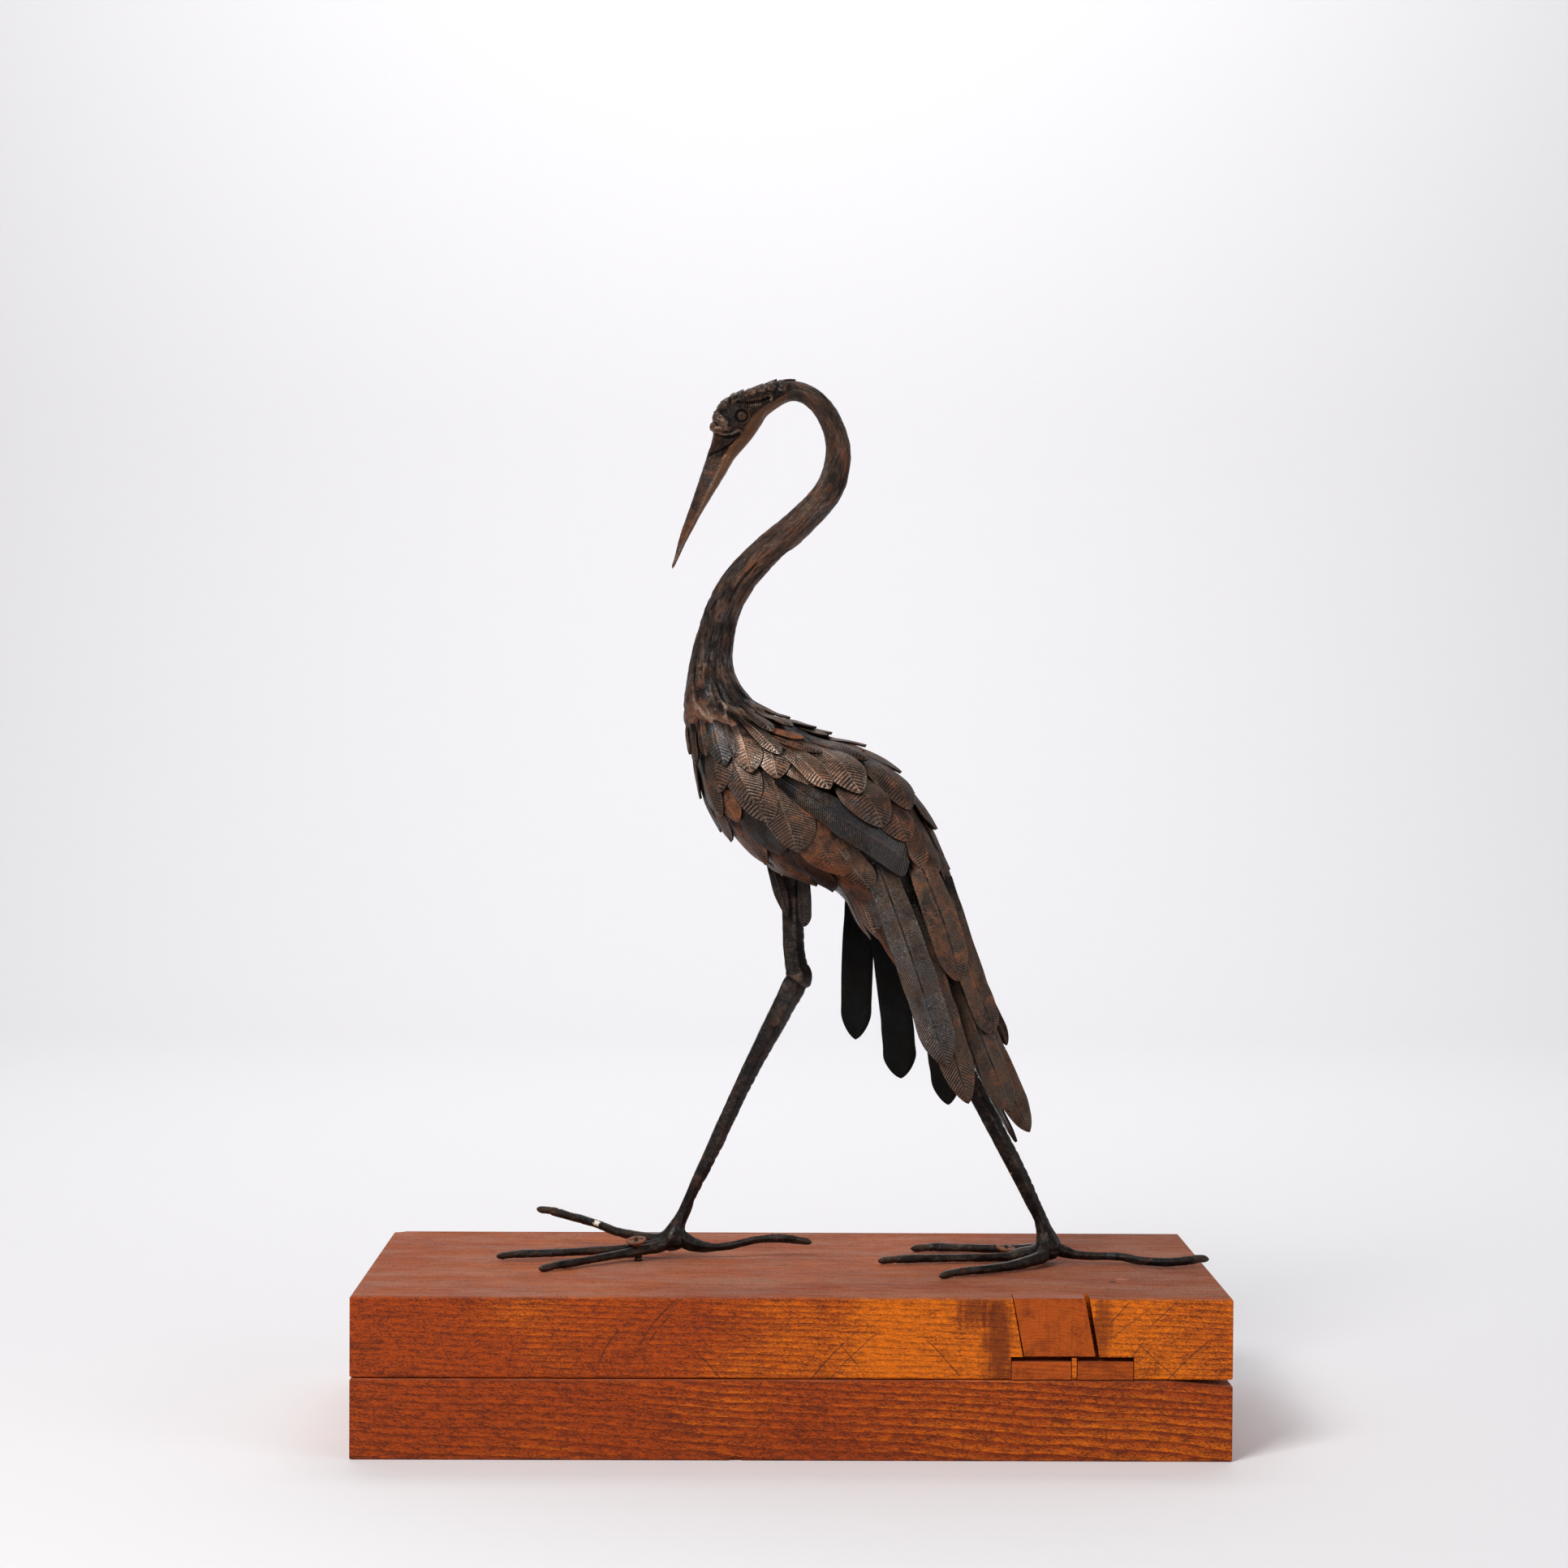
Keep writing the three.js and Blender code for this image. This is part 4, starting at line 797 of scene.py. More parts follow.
def long_feather(
    root, middle, tip, width, turned, root_share, tip_share, finish, seed,
    slant=0.85, quill_half=3.2, skew=0.0,
):
    """A feather along a quill that is a parabola through root, middle and tip: places across it
    are steps square to the quill, turned about it, and heights stand on the feather's face."""
    a, b, c = (np.array(p, float) for p in (root, middle, tip))
    control = 2 * b - 0.5 * a - 0.5 * c

    def quill(t):
        return (1 - t) ** 2 * a + 2 * t * (1 - t) * control + t ** 2 * c

    length = float(gaps(quill(np.linspace(0, 1, 41)[:, None])).sum())
    tip_length = 1.3 * tip_share * width / length + 0.05
    barbs = FINISHES[finish][3]
    laid = vane(length, width, root_share, tip_length, slant, quill_half, barbs, seed, skew)
    t = (laid["along"] / length)[..., None]
    tangent = unit(2 * (1 - t) * (control - a) + 2 * t * (c - control))
    near = unit(np.array([0, -1, 0]) + tangent * tangent[..., 1:2])
    turn = math.radians(turned)
    normal = near * math.cos(turn) + np.cross(tangent, near) * math.sin(turn)
    cross = np.cross(normal, tangent)
    points = quill(t) + cross * laid["across"][..., None] + normal * (laid["up"] - 0.9)[..., None]
    return marked(points, laid, finish, np.random.default_rng(seed).uniform(-0.1, 0.1), 0.2)


# ---- Forged bars, balls, rings and screws ----

def forged_bar(points, sides, spacing, columns, seed, scutes=0.0, knee=None, nail=0.0, flat=1.0):
    """A bar through points that give its half width: a rounded polygon carried along the curve.

    The polygon's corners wear into ridges with scutes, noise gives the hammered skin, a knee gets
    an overlapping lip, and the last stretch is a nail behind a crease.
    """
    rows = np.array(points, float)
    fine = np.linspace(0, len(rows) - 1, 40 * len(rows))
    run = run_along(smooth_rows(rows, fine)[:, :3])
    count = int(run[-1] / spacing)
    length = np.linspace(0, run[-1], count)
    at = smooth_rows(rows, np.interp(length, run, fine))
    centre, half = at[:, :3], np.maximum(at[:, 3], 0.3)
    if nail:
        to_end = np.clip(1 - (run[-1] - length) / 4.2, 0, 1)
        half = np.where(length > run[-1] - nail, np.maximum(half, 2.4), half)
        half = half * np.sqrt(1 - 0.97 * to_end ** 1.6)
    half = half[:, None]
    tangent = unit(np.gradient(centre, axis=0))
    across = unit(np.stack([-tangent[:, 2], np.zeros(count), tangent[:, 0]], -1))
    up = np.cross(tangent, across)
    theta = (TURN * np.arange(columns) / columns)[None, :]
    sector = TURN / sides
    local = np.mod(theta, sector) - sector / 2
    polygon = (math.cos(sector / 2) / np.cos(local)) ** 0.95
    corner = soft_step(np.abs(local) / (sector / 2), 0.55, 1.0)
    length = length[:, None]
    turn = theta / TURN
    skin = 0.24 * smooth_noise(length / 9, turn * 5, seed, 5)
    skin = skin + 0.13 * smooth_noise(length / 1.6, turn * 14, seed + 1, 14)
    relief = skin * np.minimum(1, half / 2.5)
    if scutes:
        cut = hump(np.mod(length / scutes, 1.0) - 0.5, 0.11)
        uneven = 0.6 + 0.4 * smooth_noise(length / 3, turn * 5, seed + 2, 5)
        relief = relief - 0.42 * corner * cut * uneven
    if knee is not None:
        below = knee - centre[:, 2:3]
        lip = 0.9 * soft_step(below, -5, 0) * (1 - soft_step(below, 0, 0.7))
        relief = relief + lip - 0.5 * hump(below - 1.6, 1.0)
    is_nail = np.zeros_like(length)
    if nail:
        crease = run[-1] - nail + 3.2 * np.cos(theta - 0.8)
        is_nail = soft_step(length, crease - 0.5, crease + 0.3)
        relief = relief - 0.5 * hump(length - crease, 0.5) + 0.12 * hump(length - crease + 1.4, 0.9)
    radius = half * polygon + relief
    tall = radius * (flat - 0.22 * is_nail) * np.sin(theta)
    ring = across[:, None] * (radius * np.cos(theta))[..., None] + up[:, None] * tall[..., None]
    ridge = np.clip(0.55 + relief * 0.9 + 0.25 * corner, 0, 1)
    return tube(centre[:, None] + ring, ridge=ridge, nail=np.broadcast_to(is_nail, radius.shape))


def leg_shells(leg, seed):
    """A leg's shank, its hub, the flare over the hub, its toes, and the feathers at its thigh."""
    shank = forged_bar(
        leg["shank"], sides=5, spacing=0.9, columns=30, seed=seed, scutes=5.4, knee=leg["knee"],
    )
    hub = ball(leg["hub"][:3], leg["hub"][3:], rings=24, columns=32, seed=seed + 3, rough=0.12)
    flare = forged_bar(leg["flare"], sides=7, spacing=0.8, columns=30, seed=seed + 4)
    toes = [
        forged_bar(
            toe, sides=5, spacing=0.7, columns=22, seed=seed + 5 + 2 * k, nail=NAIL_LENGTH,
            flat=0.94,
        ) for k, toe in enumerate(leg["toes"])
    ]
    thigh = [
        long_feather(*feather, seed + 20 + k, slant=0.6, quill_half=0.7)
        for k, feather in enumerate(leg["thigh"])
    ]
    return [shank, hub, flare] + toes + thigh


def ball(centre, radii, rings, columns, seed, rough, dent=0.0):
    """A stretched ball with its poles up and down, roughened by noise, dented on top by a bell."""
    lat = np.linspace(0.02, np.pi - 0.02, rings)[:, None]
    lon = (TURN * np.arange(columns) / columns)[None, :]
    swell = 1 + rough * smooth_noise(lat * 3, lon / TURN * 6, seed, 6) - dent * hump(lat, 0.5)
    level = np.cos(lat) * np.ones_like(lon)
    shape = np.stack([np.sin(lat) * np.cos(lon), np.sin(lat) * np.sin(lon), level], -1)
    points = np.array(centre) + shape * swell[..., None] * np.array(radii)
    return tube(points, ridge=np.clip(0.6 + 2 * (swell - 1), 0, 1))


def ring_shell(points):
    """A ring closed both ways, its walls joined round the hole and round the tube."""
    rows, count = points.shape[:2]
    i, j = np.meshgrid(np.arange(rows), np.arange(count), indexing="ij")
    i2, j2 = (i + 1) % rows, (j + 1) % count
    quads = np.stack([i * count + j, i * count + j2, i2 * count + j2, i2 * count + j], -1)
    marks = {"ridge": np.full(rows * count, 0.5)}
    return shell(points.reshape(-1, 3), quads.reshape(-1, 4), np.zeros((0, 3), int), marks)


def eye_shells(side):
    """One eye: a thin ring, and a ball laid on its side with a dent for the pupil."""
    around, thick = 40, 14
    y = PLANE_Y + side * 10.6
    lon = (TURN * np.arange(around) / around)[:, None]
    lat = (TURN * np.arange(thick) / thick)[None, :]
    wide = 4.5 + 0.42 * np.cos(lat)
    level = y + 0.6 * np.sin(lat) * np.ones_like(lon)
    ring = np.stack([EYE[0] + wide * np.cos(lon), level, EYE[1] + wide * np.sin(lon)], -1)
    eye = ball(
        (0, 0, 0), (2.9, 2.9, 2.2), rings=18, columns=28, seed=5, rough=0.03, dent=0.22,
    )
    across, up, out = eye["verts"].T
    verts = np.stack([across + EYE[0], y + side * (out - 0.5), up + EYE[1]], -1)
    marks = {"ridge": eye["marks"]["ridge"] + 0.14}
    return [ring_shell(ring), shell(verts, eye["quads"], eye["tris"], marks)]


def crest_leaf(root, tip, width, height, scallops, side):
    """A domed scale on the skin: half an ellipse across, steepest at its tip, with a scalloped
    outline and its underside sunk in the skin."""
    t = np.linspace(0, 1, 34)[:, None]
    upper, under = 15, 4
    u = np.concatenate([np.linspace(-1, 1, upper), np.linspace(0.9, -0.9, under)])[None, :]
    top = (np.arange(upper + under) < upper)[None, :]
    half = width / 2 * np.sqrt(np.clip(np.sin(np.pi * np.clip(t, 0.02, 0.985)), 0, 1))
    half = half * (1 - 0.35 * t) * (1 - scallops * np.abs(np.cos(3.5 * np.pi * t)))
    ribs, turn = tip[0] - root[0], tip[1] - root[1]
    rib = root[0] + ribs * t + 0 * u
    angle = side * np.radians(root[1] + turn * t) + 0 * u
    surface, outward = beside_quill(rib, angle, ribs, side * math.radians(turn), half * u)
    rise = height * (0.35 + 0.65 * t) * np.sqrt(np.clip(1 - u ** 4, 0, 1)) - 0.35 * hump(u, 0.12)
    level = np.where(top, rise, -1.0)
    ridge = np.where(top, 0.55 + 0.25 * rise / height, 0.1)
    return tube(surface + outward * level[..., None], ridge=ridge)


def screw_shell(foot, lean, rise):
    """A screw turned on its axis: radius over height, a thread that climbs with the turn, and a
    cross sunk in the head's face."""
    axis = unit(np.array(lean, float))
    side = unit(np.cross(axis, [0.0, 1.0, 0.0]))
    third = np.cross(axis, side)
    columns = 48
    theta = (TURN * np.arange(columns) / columns)[None, :]
    neck = rise - 4.2
    heights = np.concatenate([
        np.linspace(-SCREW_DEPTH - 1.9, neck, 170), np.linspace(rise - 4.1, rise - 1.2, 8),
    ])[:, None]
    phase = np.mod(heights / SCREW_PITCH - theta / TURN, 1.0)
    thread = 2.0 + 0.65 * np.maximum(0, 1 - np.abs(phase - 0.5) * 4)
    cone = 2.2 + 3.8 * np.clip((heights - rise + 4.2) / 3.0, 0, 1)
    radius = np.where(heights < neck, thread, np.maximum(thread, cone))
    radius = radius * np.clip((heights + SCREW_DEPTH + 2) / 5, 0.05, 1)
    face_r, face_h = (SCREW_FACE[:, k, None] * np.ones_like(theta) for k in (0, 1))
    x, y = face_r * np.cos(theta), face_r * np.sin(theta)

    def arm(u, v):
        return soft_step(1.1 - np.abs(u), 0, 0.25) * soft_step(3.9 - np.abs(v), 0, 0.35)

    sunk = np.maximum(arm(x, y), arm(y, x))
    r = np.concatenate([radius, face_r])
    h = np.concatenate([
        heights * np.ones_like(theta), rise + face_h - 1.9 * sunk * (1 - 0.12 * face_r),
    ])
    points = np.array(foot) + h[..., None] * axis
    points = points + (r * np.cos(theta))[..., None] * side + (r * np.sin(theta))[..., None] * third
    ridge = np.concatenate([np.clip((radius - 1.9) * 0.8, 0.1, 0.8), 0.7 - 0.6 * sunk])
    return tube(points, ridge=ridge)


# ---- Shader groups and materials ----

def linear(red, green, blue):
    """A colour given as it looks on a screen, 0 to 255, as the linear colour that shaders take."""
    values = np.array([red, green, blue]) / 255
    curve = np.where(values <= 0.04045, values / 12.92, ((values + 0.055) / 1.055) ** 2.4)
    return tuple(float(v) for v in curve) + (1.0,)


class Signal:
    """One output of a shader node. Arithmetic with it adds math nodes to its tree."""

    def __init__(self, tools, socket):
        self.tools = tools
        self.socket = socket

    def __add__(self, other):
        return self.tools.math("ADD", self, other)

    def __sub__(self, other):
        return self.tools.math("SUBTRACT", self, other)

    def __rsub__(self, other):
        return self.tools.math("SUBTRACT", other, self)

    def __mul__(self, other):
        return self.tools.math("MULTIPLY", self, other)

    def __truediv__(self, other):
        return self.tools.math("DIVIDE", self, other)

    __radd__, __rmul__ = __add__, __mul__


class Tree:
    """Adds nodes to a tree. A value given for an input is set, and a signal is linked."""

    def __init__(self, tree):
        self.tree = tree

    def fill(self, node, inputs):
        """Sets or links a node's inputs, given by place or by name."""
        for key, value in inputs.items():
            if isinstance(value, Signal):
                self.tree.links.new(value.socket, node.inputs[key])
            else:
                node.inputs[key].default_value = value

    def node(self, kind, inputs=(), **settings):
        """The outputs of a new node as signals, by place and by name."""
        made = self.tree.nodes.new(kind)
        for key, value in settings.items():
            setattr(made, key, value)
        self.fill(made, dict(inputs))
        signals = {k: Signal(self, socket) for k, socket in enumerate(made.outputs)}
        return {**{signal.socket.name: signal for signal in signals.values()}, **signals}

    def math(self, operation, a, b=0.0, clamp=False):
        return self.node("ShaderNodeMath", {0: a, 1: b}, operation=operation, use_clamp=clamp)[0]

    def vector(self, operation, a, b=(0.0, 0.0, 0.0)):
        """A vector from a vector and another one, or from a vector and its scale."""
        inputs = {0: a, "Scale" if operation == "SCALE" else 1: b}
        return self.node("ShaderNodeVectorMath", inputs, operation=operation)[0]

    def split(self, vector):
        parts = self.node("ShaderNodeSeparateXYZ", {"Vector": vector})
        return parts[0], parts[1], parts[2]

    def join(self, x, y, z):
        return self.node("ShaderNodeCombineXYZ", {0: x, 1: y, 2: z})[0]

    def length(self, a, b):
        """Length of the long side of a triangle with a right angle between a and b."""
        return self.math("SQRT", a * a + b * b)

    def layers(self, colour, layers):
        """A colour with others laid over it in turn, each through its mask."""
        for mask, over in layers:
            inputs = {0: mask, 6: colour, 7: over}
            colour = self.node("ShaderNodeMix", inputs, data_type="RGBA")[2]
        return colour

    def noise(self, vector, scale, detail, rough, distortion=0.0):
        """Noise of a scale, which may be one for each axis."""
        if isinstance(scale, tuple):
            vector = self.node("ShaderNodeMapping", {"Vector": vector, "Scale": scale})[0]
            scale = 1
        return self.node("ShaderNodeTexNoise", {
            "Vector": vector, "Scale": scale, "Detail": detail, "Roughness": rough,
            "Distortion": distortion,
        })[0]

    def step(self, value, low, high, start=0.0, end=1.0):
        """A smooth S from start to end while the value goes from low to high."""
        return self.node("ShaderNodeMapRange", {
            "Value": value, "From Min": low, "From Max": high, "To Min": start, "To Max": end,
        }, interpolation_type="SMOOTHSTEP")[0]

    def own_coordinates(self):
        return self.node("ShaderNodeTexCoord")["Object"]

    def facing(self):
        """The way a face looks, as shares of X, Y and Z."""
        return self.split(self.node("ShaderNodeNewGeometry")["True Normal"])

    def attribute(self, name):
        return self.node("ShaderNodeAttribute", attribute_name=name)["Fac"]

    def bump(self, strength, height):
        inputs = {"Strength": strength, "Distance": 0.0004, "Height": height}
        return self.node("ShaderNodeBump", inputs)[0]

    def group(self, name, build, inputs):
        """A node of a shared group, which is built at its first use."""
        tree = bpy.data.node_groups.get(name) or build(name)
        return self.node("ShaderNodeGroup", inputs, node_tree=tree)


def new_group(name, inputs):
    """A node group with named inputs, each given a default number or a kind. Returns its tools
    and its inputs' signals."""
    tree = bpy.data.node_groups.new(name, "ShaderNodeTree")
    for label, given in inputs.items():
        kind = given if isinstance(given, str) else "Float"
        socket = tree.interface.new_socket(
            name=label, in_out="INPUT", socket_type="NodeSocket" + kind,
        )
        if kind == "Float":
            socket.default_value = given
    tools = Tree(tree)
    return tools, tools.node("NodeGroupInput")


def close_group(tools, outputs):
    """Gives a group its outputs: a colour by that name, and values."""
    for label in outputs:
        kind = "NodeSocketColor" if label == "Color" else "NodeSocketFloat"
        tools.tree.interface.new_socket(name=label, in_out="OUTPUT", socket_type=kind)
    tools.fill(tools.tree.nodes.new("NodeGroupOutput"), outputs)
    return tools.tree


def start_material(name):
    """A new material, the tools for its tree, and the object's own coordinates."""
    material = bpy.data.materials.new(name)
    material.use_nodes = True
    t = Tree(material.node_tree)
    return material, t, t.own_coordinates()


def finish_material(material, t, inputs):
    """Sets or links the inputs of the material's shader."""
    t.fill(t.tree.nodes["Principled BSDF"], inputs)
    return material


def patina_group(name):
    """Aged bronze: brown metal, darker in hollows, with rust blooms, steel-blue patches and bright
    wear on crests, which on the carved face doubles as a painted highlight. A low Ridge is partly
    patina in hollows and partly painted shade, where the ridge mark carries it, and the painted
    underside shade turns undersides nearly black. All of it is noise over the object's own
    coordinates."""
    colours = {key: "Color" for key in ("Metal", "Shade", "Rust", "Steel", "Bright")}
    t, given = new_group(name, {
        "Coordinates": "Vector", **colours, "Rust share": 0.3, "Steel share": 0.1,
        "Wear share": 0.3, "Ridge": 0.6, "Tone": 0.5, "Under": 0.0, "Strokes": 0.5, "Soot": 0.75,
    })
    place, ridge, wear = given["Coordinates"], given["Ridge"], given["Wear share"]
    under, strokes = given["Under"], given["Strokes"]
    blotch = t.noise(place, 70, 4, 0.6)
    bloom = t.noise(place, 110, 6, 0.7, 0.4)
    patch = t.noise(place, 45, 5, 0.65, 0.3)
    grain = t.noise(place, 800, 4, 0.65)
    speck = t.noise(place, 1700, 2, 0.5)
    steel = t.step(patch + given["Steel share"] * 0.3, 0.6, 0.74)
    rust = t.step(bloom + given["Rust share"] * 0.24, 0.58, 0.86)
    rust = rust * t.step(grain, 0.3, 0.55, 0.25, 1.0)
    soot = t.step(t.noise(place, 60, 6, 0.75, 0.5), 0.47, 0.66) * given["Soot"]
    rub = t.step(ridge, 0.6, 0.9) * t.step(grain, 0.35, 0.6, 0.25, 1.0)
    rub = rub * (wear * t.step(blotch, 0.35, 0.6, 0.25, 0.85))
    fleck = t.step(speck, 0.64, 0.7) * t.step(wear, 0.4, 0.95, 0.06, 0.9)
    # Near black where the ridge is low: patina in the hollows, and painted shade at feather roots,
    # on the skin under the coat and on the face between its raised carving.
    hollow_patina_and_painted_shade = t.step(ridge, 0.1, 0.62, 0.9, 0.0)
    colour = t.layers(given["Metal"], (
        (t.step(blotch, 0.38, 0.62), given["Shade"]),
        (t.step(grain, 0.35, 0.65, 0.0, 0.6), given["Shade"]),
        (steel * 0.8, given["Steel"]),
        (rust * 0.85, given["Rust"]),
        (soot, (0.009, 0.008, 0.0085, 1)),
        (hollow_patina_and_painted_shade, (0.004, 0.0035, 0.0035, 1)),
        (rub, given["Bright"]),
        (t.step(strokes, 0.54, 0.72, 0.0, 0.5), (0.006, 0.005, 0.005, 1)),
        (fleck * t.step(patch, 0.46, 0.58), (0.62, 0.6, 0.56, 1)),
    ))
    # Painted shade: the underside mark darkens the colour nearly to black.
    tone = (0.62 + given["Tone"] * 0.76) * (1.0 - under * 0.94)
    roughness = 0.37 + rust * 0.3 + (grain - 0.5) * 0.7 + under * 0.7
    roughness = t.math("SUBTRACT", roughness, steel * 0.08, clamp=True)
    return close_group(t, {
        "Color": t.vector("SCALE", colour, tone),
        "Roughness": t.math("MAXIMUM", roughness, 0.24),
        "Metallic": t.math("SUBTRACT", 0.72, rust * 0.6, clamp=True) * (1.0 - under),
        "Height": grain * 0.9 + t.noise(place, 280, 5, 0.65) * 1.3 + rust * 0.4 - strokes * 2.2,
    })


def metal_material(
    name, shares, bump, colours=None, extra=None, strokes=None, soot=None, drawn=None,
):
    """Patinated metal. shares gives rust, steel, wear and tone as a number or an attribute's name.
    extra lays more over the colour, strokes and soot are masks, and drawn may bend the coordinates
    along the surface."""
    palette = bpy.context.scene.crane_colours
    colours = colours or {}
    material, t, place = start_material(name)
    rust, steel, wear, tone = (t.attribute(s) if isinstance(s, str) else s for s in shares)
    group = t.group("Patina", patina_group, {
        **{key.capitalize(): colours.get(key) or tuple(getattr(palette, key))
           for key in ("metal", "shade", "rust", "steel", "bright")},
        "Coordinates": drawn(t, place) if drawn else place,
        "Rust share": rust, "Steel share": steel, "Wear share": wear, "Tone": tone,
        "Ridge": t.attribute("ridge"), "Under": t.attribute("under"),
        "Strokes": strokes(t) if strokes else 0.0, "Soot": soot(t) if soot else 0.75,
    })
    return finish_material(material, t, {
        "Base Color": extra(t, group["Color"]) if extra else group["Color"],
        "Roughness": group["Roughness"], "Metallic": group["Metallic"],
        "Specular IOR Level": 0.28, "Normal": t.bump(bump, group["Height"]),
    })


def spot(t, place, centre, radius, ragged=0.5):
    """A mask that is 1 within a ragged ball about a point given in millimetres."""
    offset = t.vector("SUBTRACT", place, tuple(c * MM for c in centre))
    rag = (t.noise(place, 600, 3, 0.6) - 0.5) * (radius * MM * ragged * 4)
    distance = t.node("ShaderNodeVectorMath", {0: offset}, operation="LENGTH")["Value"]
    return t.step(distance + rag, radius * MM, radius * MM * 0.75)


# What the metal of the skin and of the feet has of its own, for metal_material.

def around_skin(t, order="xyz"):
    """Places along and around the bird, from the attributes of its skin."""
    return t.join(*(t.attribute("stroke_" + axis) for axis in order))


def neck_strokes(t):
    """Dark strokes along the neck."""
    return t.noise(around_skin(t), 1.0, 4, 0.7, 0.25) * t.attribute("neck")


def neck_soot(t):
    """More soot on the neck than on the head."""
    return 0.1 + t.attribute("neck") * 0.42


def along_neck(t, place):
    """Object coordinates on the head, and patches drawn out along the neck below it."""
    drawn = t.node("ShaderNodeMapping", {
        "Vector": around_skin(t), "Location": (-0.067, PLANE_Y * MM, 0.605),
        "Scale": (0.0045, 0.0009, 0.0009),
    })[0]
    change = t.vector("SUBTRACT", drawn, place)
    return t.vector("ADD", place, t.vector("SCALE", change, t.attribute("neck")))


def throat_colour(t, colour):
    """Pale glints down the neck and the bare brown skin of beak and face."""
    glint = t.step(t.noise(around_skin(t, "zxy"), 1.3, 5, 0.75, 0.3), 0.58, 0.7, 0.0, 0.5)
    return t.layers(colour, (
        (glint * t.attribute("neck"), linear(132, 128, 126)),
        (t.attribute("warm") * 0.55, linear(118, 78, 50)),
    ))


def foot_colour(t, colour):
    """Worn nails, the spot of white paint on a toe, and the chip in the rear leg."""
    place = t.own_coordinates()
    return t.layers(colour, (
        (t.attribute("nail") * 0.25, linear(104, 86, 72)),
        (spot(t, place, PAINT_SPOT, 2.7), linear(214, 204, 192)),
        (spot(t, place, CHIP, 2.2), linear(225, 165, 120)),
    ))


def wood_group(name):
    """Varnished softwood: growth lines that wander, thin fibres and short dark strokes, over
    coordinates whose X runs along the grain and Y across it."""
    t, given = new_group(name, {
        "Coordinates": "Vector", "Light": "Color", "Middle": "Color", "Dark": "Color",
        "Line spacing": 0.006, "Waviness": 0.006, "Slope": 0.0, "Mottle": 0.6,
        "Line strength": 0.6, "Lightness": 0.0, "Stroke lean": 0.0,
    })
    place, dark, power = given["Coordinates"], given["Dark"], given["Line strength"]
    wander = t.noise(place, (4.5, 16, 16), 3, 0.5, 0.3)
    ripple = t.noise(place, (30, 160, 160), 2, 0.5)
    x, y, z = t.split(place)
    across = y + (wander - 0.5) * (given["Waviness"] * 6.0) + (ripple - 0.5) * 0.002
    across = across + x * given["Slope"] + z * 0.35
    saw = t.math("FRACT", across / given["Line spacing"])
    line = t.step(saw, 0.4, 0.88) * t.step(saw, 0.9, 1.0, 1.0, 0.0)
    leant = t.join(x + y * given["Stroke lean"], y, z)
    fibre = t.noise(place, (70, 1500, 1500), 4, 0.7)
    strokes = t.noise(leant, (620, 1400, 1400), 4, 0.75, 0.3)
    mottle = t.noise(leant, (160, 480, 480), 5, 0.75)
    cloud = t.noise(place, (11, 24, 24), 4, 0.6) * 0.6 + 0.2 + given["Lightness"]
    cloud = cloud + (0.5 - saw) * (power * 0.45)
    speckle = t.step(strokes * 0.6 + mottle * 0.4, 0.43, 0.6)
    speckle = speckle * t.step(cloud, 1.0, 0.45, 0.5, 1.0) * given["Mottle"]
    stain = t.noise(place, (26, 70, 70), 5, 0.75, 0.4) + (strokes - 0.5) * 0.5
    colour = t.layers(given["Middle"], (
        (t.step(cloud, 0.34, 0.7), given["Light"]),
        (line * t.step(mottle, 0.3, 0.6, 0.5, 1.0) * power, dark),
        (speckle, dark),
        (t.step(fibre, 0.48, 0.72, 0.0, 0.4), dark),
        (t.step(stain, 0.5, 0.68, 0.0, 0.5), dark),
    ))
    height = line * -0.6 + fibre * 0.5 - speckle * 0.6
    return close_group(t, {"Color": colour, "Lines": line, "Height": height})


def wood(t, coordinates, inputs, light="wood_light"):
    """A node of the wood group in the palette's colours, of which the light one is named."""
    palette = bpy.context.scene.crane_colours
    names = {"Light": light, "Middle": "wood_middle", "Dark": "wood_dark"}
    colours = {key: tuple(getattr(palette, name)) for key, name in names.items()}
    return t.group("Sawn softwood", wood_group, {"Coordinates": coordinates, **colours, **inputs})


def saw_marks(t, x, z, rag, marks):
    """Thin arcs of circles, each shown over a stretch of X and broken by noise."""
    total = 0.0
    for (centre_x, centre_z), radius, low, high, wide in marks:
        far = t.length(x - centre_x * MM, z - centre_z * MM) + (rag - 0.5) * 0.0016
        arc = t.step(t.math("ABSOLUTE", far - radius * MM), wide * MM, wide * MM * 0.2)
        shown = t.step(x, low * MM, (low + 8) * MM) * t.step(x, high * MM, (high - 10) * MM)
        total = t.math("MAXIMUM", arc * shown, total)
    return total * t.step(rag, 0.36, 0.5)


